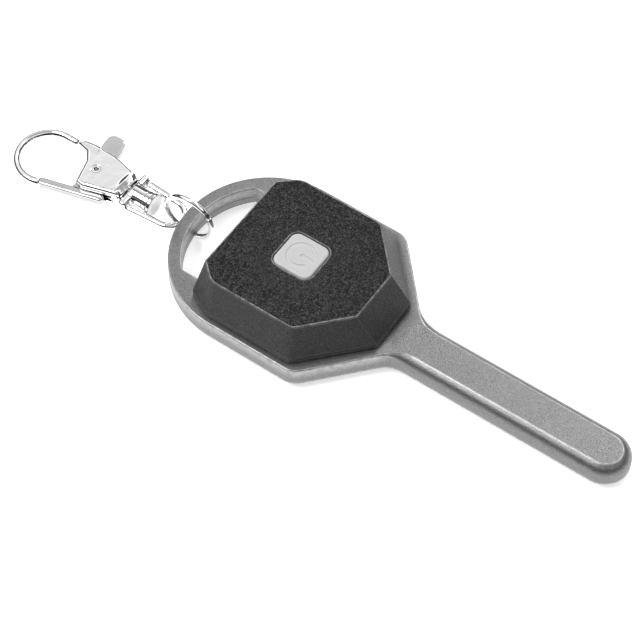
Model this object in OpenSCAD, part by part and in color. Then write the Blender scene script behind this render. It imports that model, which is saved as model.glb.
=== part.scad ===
// Key-shaped pocket light on a swivel snap clasp.
// Millimetres. +X runs along the blade to its tip, +Z is up, and the origin is on the
// button's axis, on the surface that the light lies on.

/* [Key body] */
// Width of the head
head_w = 37.9; // [37.4:0.1:38.6]
// Distance from the button's axis to the tip of the blade
tip_x = 71.4; // [66:0.1:76]
// Width of the blade
blade_w = 10; // [9.8:0.1:10.4]
// Thickness of the silver shells together
shell_h = 4.4; // [4.4:0.1:5]
// Gap between the silver shells and the surface below
stand_h = 1.6; // [1.6:0.1:2]
// Width of the bar that closes the loop
loop_bar = 2.65; // [2.4:0.05:2.8]
// Width of the loop's slot, side to side
slot_w = 23.4; // [20:0.1:24]

/* [Cover and button] */
// Height of the dark cover above the shells
cover_h = 6.6; // [6.6:0.1:7.4]
// Height of the cover's upright lip
lip_h = 1.4; // [1:0.1:1.8]
// Wall of the cover
cover_wall = 1.3; // [1.1:0.1:1.5]
// Side of the square button
button_w = 8.4; // [7.6:0.1:8.6]
// Travel of the button
button_travel = 0.5; // [0.3:0.1:0.6]
// Depth of the dish that the button sits in
dish_depth = 0.6; // [0.3:0.1:0.7]

/* [Lamp] */
// Length of the light bar's window
lamp_l = 42; // [36:0.5:42.5]
// Width of the light bar's window
lamp_w = 6; // [5:0.1:6.2]

/* [Clasp] */
// Mean radius of the hook
hook_r = 6.2; // [5.8:0.1:6.4]
// Thickness of the clasp's body
clasp_t = 3.8; // [3.8:0.1:4.2]
// Mean radius of the jump ring
ring_r = 5.2; // [5.2:0.02:5.3]
// Wire of the jump ring
ring_wire = 1.15; // [1:0.05:1.15]
// Wire of the swivel's bow
bow_wire = 1.4; // [1.2:0.1:1.4]

/* [Hidden] */
$fn = 64;
eps = 0.01;
gap = 0.1;

head_r = head_w / 2;
blade_r = blade_w / 2;
loop_x = -7.8;                 // centre of the round back of the head
tip_c = tip_x - blade_r;       // centre of the round tip
shell_z = stand_h;             // underside of the silver shells
deck_z = stand_h + shell_h;    // top of the silver shells, where the cover sits
top_z = deck_z + cover_h;

// slanted front of the head, as the line through its two untrimmed corners
shoulder = [11.1, head_r];
neck = [23.7, blade_r];
shoulder_r = 4;
neck_r = 5;
slant = unit(neck - shoulder);
slant_n = [-slant.y, slant.x];
head_cut = 26.2;               // where the blade's own section takes over
blade_edge = 1.4;
deck_edge = 0.35;

skirt = 0.8;                   // outer wall of the upper shell round the lower one
seam_z = shell_z + 1.75;       // top of the lower shell
slot_x = -14.3;                // straight side of the slot
slot_r = head_r - loop_bar;
slot_corner = 1.5;

cell_r = 10;
cell_h = 2.5;
cell_z = 1.5;
well_r = 10.7;
holder_r = 12.2;
board_z = 7.6;
board_h = 1;
door_r = 12.2;
door_h = 1.2;
pod_z = 0.4;
ear_y = 13.9;
ear_r = 2.1;
screw_r = 0.8;
screw_at = [[-11.3, 12.6], [-11.3, -12.6], [12.7, 9], [12.7, -9]];

lamp_start = 26.6;
lamp_x = [lamp_start + lamp_w / 2, lamp_start + lamp_l - lamp_w / 2];
lens_rim_z = seam_z + 0.05;
led_z = lens_rim_z + 0.7;
led_h = 0.7;
bus_z = led_z + led_h;
bus_x = 13.4;

dish_r = 9.5;
button_r = 1.7;
button_top = top_z - 0.1;
symbol_depth = 0.12;
ceiling_z = top_z - cover_wall;
flange_z = ceiling_z - 0.6;
switch_z = board_z + board_h;
switch_top = switch_z + 1.5;
plunger_r = 1.6;

// the clasp is drawn with its swivel's axis on Y = 0, and then moved to where it lies
clasp_at = [0.4, -0.75];
clasp_z = 2.6;                 // height of the swivel's axis
pivot = [-48.3, -0.7];
pivot_r = 0.9;
hook_c = [-58.8, -2.8];
hook_end = 288;
hook_half = [0.85, 1.15];
lever_t = 1.5;
slot_t = 1.8;
gate_a = [-56.2, -8.15];
gate_b = [-43.6, -4.75];
gate_w = 1.7;
gate_h = 1.6;
stem_r = 1.2;
stem_head = [-35.5, -34.6];
stem_head_r = 2.45;
bow_x = [-40.45, -38.9];
bow_boss_x = -36.6;
bow_boss_r = 2.2;
bow_base_y = 3.6;
bow_base_h = 3;
bow_end = [-31.2, 0];
bow_end_r = 3;
ring_turn = 3;                 // the ring's place round the loop, from its middle
ring_path_r = 17.87;
ring_c = [loop_x - ring_path_r * cos(ring_turn), -ring_path_r * sin(ring_turn)];
ring_z = ring_r + ring_wire / 2;

silver = [0.66, 0.67, 0.68];
charcoal = [0.2, 0.2, 0.21];
button_grey = [0.78, 0.79, 0.8];
nickel = [0.85, 0.86, 0.88];
board_green = [0.1, 0.4, 0.25];

function unit(v) = v / norm(v);

// points of an arc of radius r that is tangent to both sides of the corner a-b-c
function corner(a, b, c, r, n = 8) =
    let (u = unit(a - b), v = unit(c - b), half = acos(u * v) / 2,
         centre = b + unit(u + v) * r / sin(half),
         p = b + u * r / tan(half) - centre,
         q = b + v * r / tan(half) - centre,
         start = atan2(p.y, p.x),
         turn = (atan2(q.y, q.x) - start + 540) % 360 - 180)
    [for (i = [0:n]) centre + r * [cos(start + turn * i / n), sin(start + turn * i / n)]];

// closed outline with each corner rounded by its own radius, 0 for a sharp one
function rounded(pts, radii) =
    let (n = len(pts))
    [for (i = [0:n - 1])
        each radii[i] == 0 ? [pts[i]] : corner(pts[(i + n - 1) % n], pts[i], pts[(i + 1) % n], radii[i])];

// outline given by its upper half, mirrored about the X axis
function both_sides(half) = concat(half, [for (i = [len(half) - 1:-1:0]) [half[i].x, -half[i].y]]);

function ellipse(a, b, n = 16) = [for (i = [0:n - 1]) [a * cos(360 * i / n), b * sin(360 * i / n)]];

// x of the slanted side, moved in by e, at height y
function slant_x(e, y) = (shoulder * slant_n - e - y * slant_n.y) / slant_n.x;

module head_plan(e = 0) {
    side = head_r - e;
    edge = blade_r - e;
    translate([loop_x, 0]) circle(r = side, $fn = 128);
    polygon(rounded(
        [[loop_x, -side], [slant_x(e, side), -side], [slant_x(e, edge), -edge], [head_cut + 4, -edge],
         [head_cut + 4, edge], [slant_x(e, edge), edge], [slant_x(e, side), side], [loop_x, side]],
        [0, shoulder_r, neck_r, 0, 0, neck_r, shoulder_r, 0]));
}

module key_plan(e = 0) {
    head_plan(e);
    translate([head_cut, e - blade_r]) square([tip_c - head_cut, blade_w - 2 * e]);
    translate([tip_c, 0]) circle(r = blade_r - e);
}

module slot_plan() {
    half = slot_w / 2;
    intersection() {
        translate([loop_x, 0]) circle(r = slot_r, $fn = 128);
        polygon(rounded([[slot_x, -half], [slot_x, half], [-30, half], [-30, -half]],
                        [slot_corner, slot_corner, 0, 0]));
    }
}

module lamp_plan(e = 0) {
    translate([lamp_x[0], -lamp_w / 2 - e]) square([lamp_x[1] - lamp_x[0], lamp_w + 2 * e]);
    for (x = lamp_x) translate([x, 0]) circle(r = lamp_w / 2 + e);
}

module layer(z0, z1) {
    translate([0, 0, z0]) linear_extrude(z1 - z0) children();
}

module on_clasp() {
    translate([clasp_at.x, clasp_at.y, 0]) children();
}

// tube or rod along X
module rod_x(x0, x1, r) {
    translate([x0, 0, clasp_z]) rotate([0, 90, 0]) cylinder(h = x1 - x0, r = r);
}

// half of the blade's section: flat below, rounded on its upper edge
module blade_half() {
    polygon(rounded([[0, shell_z], [blade_r, shell_z], [blade_r, deck_z], [0, deck_z]],
                    [0, 0.4, blade_edge, 0]));
}

module blade() {
    translate([head_cut, 0, 0]) rotate([90, 0, 90]) linear_extrude(tip_c - head_cut) {
        blade_half();
        mirror([1, 0]) blade_half();
    }
    translate([tip_c, 0, 0]) rotate([0, 0, -90]) rotate_extrude(angle = 180) blade_half();
}

module head_block() {
    layer(shell_z, deck_z - deck_edge) intersection() {
        head_plan();
        translate([-40, -40]) square([40 + head_cut, 80]);
    }
    layer(deck_z - deck_edge - eps, deck_z) intersection() {
        head_plan(deck_edge);
        translate([-40, -40]) square([40 + head_cut, 80]);
    }
}

module upper_shell() {
    color(silver) difference() {
        union() {
            head_block();
            blade();
        }
        layer(shell_z - 1, seam_z + gap / 2) key_plan(skirt);
        layer(0, deck_z + 1) slot_plan();
        layer(seam_z, deck_z + 1) circle(r = holder_r + 0.4);
        // wiring channel, open to the well under the cover
        layer(seam_z, bus_z + 0.35) {
            lamp_plan(0.6);
            translate([0, -3.6]) square([lamp_x[0], 7.2]);
        }
        layer(seam_z, deck_z + 1) translate([0, -3.6]) square([17, 7.2]);
        for (p = screw_at) translate([p.x, p.y, 0]) cylinder(h = deck_z + 1, r = screw_r + 0.15);
    }
}

module lower_shell() {
    color(silver) difference() {
        union() {
            layer(shell_z, seam_z) key_plan(skirt + gap);
            layer(pod_z, shell_z + eps) door_plan(1.2);
        }
        layer(0, deck_z) slot_plan();
        layer(0, door_h + 0.05) door_plan(0.15);
        translate([0, 0, -1]) cylinder(h = 9, r = well_r);
        // groove for the seal
        difference() {
            translate([0, 0, door_h]) cylinder(h = 0.3, r = 11.6);
            translate([0, 0, 0]) cylinder(h = 3, r = 11);
        }
        layer(0, deck_z) lamp_plan(0.1);
        for (p = screw_at) translate([p.x, p.y, 0]) {
            cylinder(h = deck_z, r = screw_r + 0.15);
            cylinder(h = shell_z + 0.95, r = 1.75);
        }
        for (s = [-1, 1]) translate([0, s * ear_y, 0]) cylinder(h = deck_z, r = 0.7);
    }
}

module door_plan(e = 0) {
    circle(r = door_r + e);
    translate([-ear_r - e, -ear_y]) square([2 * (ear_r + e), 2 * ear_y]);
    for (s = [-1, 1]) translate([0, s * ear_y]) circle(r = ear_r + e);
}

// plan of the cover where it meets the deck
module cover_foot() {
    polygon(both_sides([for (p = rounded(
        [[-14.2, 0], [-14.2, 15.3], [-9.3, 17.7], [9.6, 17.7], [20.9, 5.6], [20.9, 0]],
        [0, 1, 6, 2.6, 0.4, 0])) p]));
}

// plan of the cover's flat top
module cover_top() {
    polygon(both_sides(rounded(
        [[-13.9, 0], [-13.9, 11.2], [-10.3, 14.5], [8.1, 14.5], [16.4, 5.6], [16.4, 0]],
        [0, 0.8, 4, 2, 0.4, 0])));
}

module top_cover() {
    color(charcoal) {
        difference() {
            union() {
                layer(deck_z, deck_z + lip_h) cover_foot();
                hull() {
                    layer(deck_z + lip_h - eps, deck_z + lip_h) cover_foot();
                    layer(top_z - eps, top_z) cover_top();
                }
            }
            hull() {
                layer(deck_z - 1, deck_z + lip_h) offset(delta = -cover_wall) cover_foot();
                layer(ceiling_z - eps, ceiling_z) offset(delta = -cover_wall) cover_top();
            }
            // dish round the button, a shallow cap of a large ball
            dish_ball = (dish_r * dish_r + dish_depth * dish_depth) / (2 * dish_depth);
            translate([0, 0, top_z + dish_ball - dish_depth]) sphere(r = dish_ball, $fn = 200);
            layer(ceiling_z - 1, top_z + 1) button_plan(0.2);
        }
        for (p = screw_at) translate([p.x, p.y, deck_z]) difference() {
            cylinder(h = 4, r = 1.9);
            translate([0, 0, -eps]) cylinder(h = 3.4, r = screw_r + 0.05);
        }
    }
}

module button_plan(e = 0) {
    w = button_w / 2 + e;
    polygon(rounded([[-w, -w], [w, -w], [w, w], [-w, w]], [for (i = [0:3]) button_r + e]));
}

// power symbol: a ring open towards the blade, with a bar across the opening
module power_symbol() {
    difference() {
        circle(r = 2.9);
        circle(r = 2.2);
        polygon([[0, 0], [4, 3], [4, -3]]);
    }
    translate([0, -0.35]) square([3, 0.7]);
}

module button_cap() {
    color(button_grey) {
        layer(flange_z + 0.4 - eps, button_top - 0.35) button_plan();
        difference() {
            layer(button_top - 0.35 - eps, button_top) button_plan(-0.35);
            layer(button_top - symbol_depth, top_z) power_symbol();
        }
        layer(flange_z, flange_z + 0.4) button_plan(1);
        layer(switch_top + 0.4, flange_z + eps) circle(r = plunger_r);
    }
}

module switch_plunger() {
    color("dimgray") layer(switch_top - 0.6, switch_top + 0.4) circle(r = plunger_r);
}

module switch_body() {
    color("silver") difference() {
        layer(switch_z, switch_top) translate([-2.6, -2.6]) square(5.2);
        layer(switch_top - 1.2, switch_top + 1) circle(r = plunger_r + 0.08);
    }
}

module circuit_board() {
    color(board_green) difference() {
        layer(board_z, board_z + board_h) {
            circle(r = 11.8);
            translate([0, -3]) square([14.4, 6]);
        }
        for (p = screw_at) translate([p.x, p.y, 0]) cylinder(h = top_z, r = 2.2);
    }
}

module driver_parts() {
    color("black") {
        layer(switch_z, switch_z + 1.1) translate([4.6, -2.4]) square([3, 4.8]);
        for (y = [-6.5, 5]) layer(switch_z, switch_z + 0.5) translate([-3, y]) square([2, 1.2]);
        layer(switch_z, switch_z + 0.8) translate([-7.4, -1.3]) square([1.6, 2.6]);
    }
}

module cell_holder() {
    color("black") difference() {
        layer(seam_z + gap, board_z) circle(r = holder_r);
        layer(0, top_z) circle(r = well_r);
    }
}

module coin_cell(z) {
    translate([0, 0, z]) cylinder(h = cell_h - 0.5, r = cell_r);
    translate([0, 0, z + cell_h - 0.5 - eps]) cylinder(h = 0.5 + eps, r = cell_r - 0.7);
}

module cell_lower() {
    color(nickel) coin_cell(cell_z);
}

module cell_upper() {
    color(nickel) coin_cell(cell_z + cell_h + 0.05);
}

module contact_positive() {
    color("gold") {
        layer(cell_z + 2 * cell_h + 0.1, cell_z + 2 * cell_h + 0.4) translate([-6, -2]) square([12, 4]);
        layer(cell_z + 2 * cell_h + 0.4 - eps, board_z) translate([-6, -2]) square([0.4, 4]);
    }
}

module contact_negative() {
    color("gold") {
        layer(door_h, cell_z) translate([-well_r + 0.2, -1.5]) square([14, 3]);
        layer(door_h, board_z) translate([-well_r + 0.15, -1.5]) square([0.3, 3]);
    }
}

module battery_door() {
    color(silver) difference() {
        layer(0, door_h) door_plan();
        // coin slot and countersinks
        layer(-1, 0.6) translate([-4.5, -0.8]) square([9, 1.6]);
        for (s = [-1, 1]) translate([0, s * ear_y, -1]) {
            cylinder(h = 4, r = 0.75);
            cylinder(h = 1.6, r = 1.35);
        }
    }
}

module door_seal() {
    color("black") translate([0, 0, door_h + 0.01]) difference() {
        cylinder(h = 0.28, r = 11.55);
        translate([0, 0, -1]) cylinder(h = 3, r = 11.05);
    }
}

// countersunk screw with a cross slot, its head towards -Z
module screw(r, head, head_h, length) {
    difference() {
        union() {
            cylinder(h = head_h, r = head);
            cylinder(h = length, r = r);
        }
        for (a = [0, 90]) rotate([0, 0, a]) translate([-head * 0.6, -0.15, -eps]) cube([head * 1.2, 0.3, 0.4]);
    }
}

module door_screws() {
    color(nickel) for (s = [-1, 1]) translate([0, s * ear_y, 0.05]) screw(0.65, 1.25, 0.5, 2.6);
}

module shell_screws() {
    color(nickel) for (p = screw_at) translate([p.x, p.y, shell_z + 0.05]) screw(screw_r, 1.6, 0.85, 7.2);
}

module led_board() {
    color("white") layer(led_z, led_z + led_h) lamp_plan(0.3);
}

module led_strip() {
    color("gold") layer(led_z - 0.35, led_z) lamp_plan(-0.8);
}

module light_lens() {
    color([0.95, 0.95, 0.9]) difference() {
        union() {
            layer(0, lens_rim_z + eps) lamp_plan();
            layer(lens_rim_z, led_z - 0.35) lamp_plan(0.5);
        }
        layer(1, led_z) lamp_plan(-0.7);
    }
}

// bent strip from the circuit board down into the blade
module bus(y) {
    layer(bus_z, bus_z + 0.2) translate([bus_x, y - 0.5]) square([16, 1]);
    layer(bus_z, board_z) translate([bus_x, y - 0.5]) square([0.2, 1]);
}

module bus_positive() {
    color("gold") bus(1.3);
}

module bus_negative() {
    color("gold") bus(-1.3);
}

module jump_ring() {
    color(nickel) translate([ring_c.x, ring_c.y, ring_z]) rotate([90, 0, ring_turn])
        rotate_extrude(angle = 358, start = 31, $fn = 96) translate([ring_r, 0]) circle(d = ring_wire, $fn = 24);
}

module swivel_bow() {
    arm = bow_end + [0, bow_end_r] - [bow_x[0] + 0.75, bow_base_y];
    color(nickel) difference() {
        union() {
            translate([bow_x[0], -bow_base_y - bow_wire / 2, clasp_z - bow_base_h / 2])
                cube([bow_x[1] - bow_x[0], 2 * bow_base_y + bow_wire, bow_base_h]);
            rod_x(bow_x[0], bow_boss_x, bow_boss_r);
            for (s = [-1, 1]) translate([bow_x[0] + 0.75, s * bow_base_y, clasp_z])
                rotate([0, 90, s * atan2(arm.y, arm.x)]) cylinder(h = norm(arm), d = bow_wire, $fn = 24);
            translate([bow_end.x, 0, clasp_z]) rotate([0, 0, -90])
                rotate_extrude(angle = 180) translate([bow_end_r, 0]) circle(d = bow_wire, $fn = 24);
        }
        rod_x(bow_x[0] - 1, bow_boss_x + 1, stem_r + 0.08);
    }
}

module swivel_stem() {
    color(nickel) {
        rod_x(-43.4, stem_head[0] + eps, stem_r);
        rod_x(stem_head[0], stem_head[1], stem_head_r);
    }
}

module swivel_washer() {
    color(nickel) difference() {
        rod_x(bow_boss_x + 0.1, stem_head[0] - 0.05, 2.3);
        rod_x(bow_boss_x - 1, stem_head[0] + 1, stem_r + 0.05);
    }
}

// two cheeks of the clasp's body, seen from above
module cheek_plan() {
    polygon([[-55.4, 2.6], [-54.4, 3.9], [-52.2, 4.3], [-47, 4.2], [-41.4, 2.9], [-41.4, -3.4],
             [-48.4, -5.45], [-50, -5.2], [-50.7, -2.7], [-51.4, -0.1], [-52.9, 1.9]]);
}

module lever_space() {
    polygon([[-52.2, 8], [-52.2, 1.1], [-55.5, -1.7], [-56, -8.5], [-42.3, -8.5], [-42.3, -3.2], [-44, -3.2], [-44, 8]]);
}

module clasp_body() {
    color(nickel) difference() {
        union() {
            // hook, and the arm that joins it to the cheeks
            translate([hook_c.x, hook_c.y, clasp_z])
                rotate_extrude(angle = hook_end - 90, start = 90, $fn = 96)
                    translate([hook_r, 0]) polygon(ellipse(hook_half[0], hook_half[1]));
            translate([hook_c.x, hook_c.y + hook_r, clasp_z]) rotate([90, 0, 90])
                linear_extrude(4.8) polygon(ellipse(hook_half[0], hook_half[1]));
            layer(clasp_z - clasp_t / 2, clasp_z + clasp_t / 2) cheek_plan();
            translate([-42.1, 0, clasp_z]) rotate([90, 0, 90]) linear_extrude(1.5) polygon(ellipse(3.3, 2.3, 24));
        }
        layer(clasp_z - slot_t / 2, clasp_z + slot_t / 2) lever_space();
        translate([pivot.x, pivot.y, 0]) cylinder(h = 9, r = pivot_r + 0.02);
        rod_x(-43.5, -40, stem_r + 0.01);
    }
}

module clasp_rivet() {
    color(nickel) translate([pivot.x, pivot.y, clasp_z]) difference() {
        union() {
            cylinder(h = clasp_t + 0.6, r = pivot_r, center = true);
            for (s = [-1, 1]) translate([0, 0, s * (clasp_t / 2 + 0.16)]) cylinder(h = 0.3, r = 1.9, center = true);
        }
        cylinder(h = 9, r = 0.45, center = true);
    }
}

// thumb tab, web and gate of the lever, seen from above
module lever_plan() {
    translate(pivot) circle(r = 2.6);
    polygon([[-50.4, -1.7], [-50.7, -6.6], [-45.9, -5.4], [-46.2, -1.7]]);
    polygon(rounded([[-50.7, 0.3], [-51.8, 4.8], [-52.4, 9.1], [-48.4, 9.1], [-47.3, 4.8], [-45.9, 0.3]],
                    [0, 1, 1.6, 1.4, 1, 0]));
}

module clasp_lever() {
    run = gate_b - gate_a;
    color(nickel) difference() {
        union() {
            layer(clasp_z - lever_t / 2, clasp_z + lever_t / 2 - 0.5) lever_plan();
            layer(clasp_z - lever_t / 2, clasp_z + lever_t / 2) intersection() {
                lever_plan();
                translate([-60, 2.9]) square([20, 10]);
            }
            translate([gate_a.x, gate_a.y, clasp_z]) rotate([0, 0, atan2(run.y, run.x)]) {
                translate([0, -gate_w / 2, -gate_h / 2]) cube([norm(run), gate_w, gate_h]);
                translate([norm(run), 0, -gate_h / 2]) cylinder(h = gate_h, d = gate_w);
            }
        }
        translate([pivot.x, pivot.y, 0]) cylinder(h = 9, r = pivot_r + 0.06);
    }
}

module lever_spring() {
    color("silver") translate([pivot.x, pivot.y, clasp_z + lever_t / 2 - 0.15])
        rotate_extrude() translate([1.6, 0]) circle(r = 0.22, $fn = 16);
}

upper_shell();
lower_shell();
top_cover();
button_cap();
switch_plunger();
switch_body();
circuit_board();
driver_parts();
cell_holder();
cell_upper();
cell_lower();
contact_positive();
contact_negative();
battery_door();
door_seal();
door_screws();
shell_screws();
led_board();
led_strip();
light_lens();
bus_positive();
bus_negative();
jump_ring();
on_clasp() swivel_bow();
on_clasp() swivel_stem();
on_clasp() swivel_washer();
on_clasp() clasp_body();
on_clasp() clasp_rivet();
on_clasp() clasp_lever();
on_clasp() lever_spring();
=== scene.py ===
"""A key-shaped pocket light on a swivel snap clasp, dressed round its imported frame.

Every size is in millimetres until a mesh is made, and the frame is in metres.
"""

import logging
import math
from dataclasses import dataclass, field
from enum import Enum
from typing import Callable, Sequence

import bmesh
import bpy
import numpy as np
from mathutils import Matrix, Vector
from mathutils.geometry import delaunay_2d_cdt


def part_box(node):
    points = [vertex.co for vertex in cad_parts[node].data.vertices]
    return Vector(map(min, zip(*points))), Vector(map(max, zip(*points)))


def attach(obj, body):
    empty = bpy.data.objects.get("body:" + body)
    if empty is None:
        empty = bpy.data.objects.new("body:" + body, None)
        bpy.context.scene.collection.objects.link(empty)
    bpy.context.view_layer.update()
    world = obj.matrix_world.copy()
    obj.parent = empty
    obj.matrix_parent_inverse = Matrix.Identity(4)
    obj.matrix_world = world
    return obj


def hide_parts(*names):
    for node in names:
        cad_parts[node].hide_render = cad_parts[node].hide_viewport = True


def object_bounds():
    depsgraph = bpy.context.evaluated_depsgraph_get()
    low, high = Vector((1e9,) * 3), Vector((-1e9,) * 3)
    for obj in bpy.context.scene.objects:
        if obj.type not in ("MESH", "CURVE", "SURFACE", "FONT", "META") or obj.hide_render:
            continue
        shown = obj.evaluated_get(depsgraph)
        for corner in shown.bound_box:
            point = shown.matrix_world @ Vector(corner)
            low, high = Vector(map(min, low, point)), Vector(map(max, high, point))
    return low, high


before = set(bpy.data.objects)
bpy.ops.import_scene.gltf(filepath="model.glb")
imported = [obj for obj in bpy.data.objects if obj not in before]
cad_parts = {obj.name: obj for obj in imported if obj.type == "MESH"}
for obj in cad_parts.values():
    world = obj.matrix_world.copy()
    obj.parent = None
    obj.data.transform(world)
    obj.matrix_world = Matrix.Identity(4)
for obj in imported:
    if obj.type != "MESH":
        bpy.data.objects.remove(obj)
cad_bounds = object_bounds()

MM = 0.001
FLAT = 0.08
CAP_STRETCH = 1e-5
Array = np.ndarray
log = logging.getLogger("pocket_light")


# ---------------------------------------------------------------- frame and numbers


@dataclass(frozen=True)
class Box:
    """Lowest and highest corner of a CAD node, in millimetres."""

    low: Array
    high: Array

    @classmethod
    def of(cls, node: str) -> "Box":
        """Measures one CAD node at rest.

        Args:
            node: the node's name.

        Returns:
            Its box.
        """
        low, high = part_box(node)
        return cls(np.array(low) / MM, np.array(high) / MM)

    @property
    def centre(self) -> Array:
        """Middle of the box."""
        return (self.low + self.high) / 2


def smoothstep(low: float, high: float, value: Array) -> Array:
    """Smooth ramp from 0 at low to 1 at high: 3t^2 - 2t^3 of the clamped share t.

    Args:
        low: where the ramp starts.
        high: where it ends.
        value: the points to take it at.

    Returns:
        The ramp's values.
    """
    t = np.clip((value - low) / (high - low), 0.0, 1.0)
    return t * t * (3.0 - 2.0 * t)


# ---------------------------------------------------------------- outlines


@dataclass(frozen=True)
class Outline:
    """Closed plan outline: its points, and the unit normals that point out of it."""

    points: Array
    normals: Array

    def moved_in(self, inset: float | Array, height: float | Array) -> Array:
        """Ring of 3-D points: each point less its normal times the inset, at a height.

        Args:
            inset: distance inwards, one for all or one a point.
            height: z, one for all or one a point.

        Returns:
            Array of shape (n, 3).
        """
        n = len(self.points)
        flat = self.points - self.normals * np.broadcast_to(inset, n)[:, None]
        return np.column_stack([flat, np.broadcast_to(height, n)])


def arc(centre: Sequence[float], radius: float, start: float, end: float, count: int) -> Outline:
    """Arc as centre plus radius times (cos, sin) of evenly spaced angles.

    Args:
        centre: its centre.
        radius: its radius.
        start: first angle in degrees.
        end: last angle in degrees.
        count: number of points.

    Returns:
        The points with normals away from the centre.
    """
    angle = np.radians(np.linspace(start, end, count))
    normal = np.column_stack([np.cos(angle), np.sin(angle)])
    return Outline(np.array(centre) + radius * normal, normal)


def corner(a: Array, b: Array, c: Array, radius: float, count: int) -> Outline:
    """Arc that rounds the corner a-b-c of an outline that runs anticlockwise.

    The centre lies on the corner's bisector, radius / sin(half angle) away from it.

    Args:
        a: the point before.
        b: the corner.
        c: the point after.
        radius: radius of the arc.
        count: number of points.

    Returns:
        The arc, its normals turned outwards on hollow corners too.
    """
    a, b, c = (np.array(v, float) for v in (a, b, c))
    u = (a - b) / np.linalg.norm(a - b)
    v = (c - b) / np.linalg.norm(c - b)
    half = math.acos(float(np.clip(u @ v, -1, 1))) / 2
    middle = b + (u + v) / np.linalg.norm(u + v) * radius / math.sin(half)
    first = b + u * radius / math.tan(half) - middle
    last = b + v * radius / math.tan(half) - middle
    start = math.degrees(math.atan2(first[1], first[0]))
    turn = (math.degrees(math.atan2(last[1], last[0])) - start + 540) % 360 - 180
    bend = arc(middle, radius, start, start + turn, count)
    return bend if turn > 0 else Outline(bend.points, -bend.normals)


def joined(parts: Sequence[Outline]) -> Outline:
    """One outline out of several stretches in order."""
    return Outline(np.vstack([p.points for p in parts]), np.vstack([p.normals for p in parts]))


def rounded(corners: Sequence[Sequence[float]], radii: Sequence[float], count: int = 10) -> Outline:
    """Convex or hollow polygon with each corner rounded by its own arc.

    Args:
        corners: the polygon, anticlockwise.
        radii: one radius a corner.
        count: points in each arc.

    Returns:
        The outline.
    """
    n = len(corners)
    bends = [corner(corners[i - 1], corners[i], corners[(i + 1) % n], radii[i], count) for i in range(n)]
    return joined(bends)


def straight(a: Array, b: Array, count: int) -> Outline:
    """Points strictly between a and b, with the normal to the right of the way from a to b.

    Args:
        a: where it starts.
        b: where it ends.
        count: number of points.

    Returns:
        The stretch without its ends.
    """
    along = (b - a) / np.linalg.norm(b - a)
    share = np.linspace(0, 1, count + 2)[1:-1, None]
    return Outline(a + (b - a) * share, np.tile([along[1], -along[0]], (count, 1)))


def inside(points: Array, loop: Array) -> Array:
    """Even-odd test: a point is inside where a ray along +X crosses the loop an odd number of times.

    Args:
        points: (n, 2) points.
        loop: (m, 2) closed loop.

    Returns:
        Boolean array of n.
    """
    a, b = loop, np.roll(loop, -1, axis=0)
    x, y = points[:, :1], points[:, 1:]
    spans = (a[:, 1] > y) != (b[:, 1] > y)
    rise = np.where(b[:, 1] == a[:, 1], 1e-12, b[:, 1] - a[:, 1])
    crossing = a[:, 0] + (y - a[:, 1]) * (b[:, 0] - a[:, 0]) / rise
    return (np.sum(spans & (x < crossing), axis=1) % 2).astype(bool)


# ---------------------------------------------------------------- meshes


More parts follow.
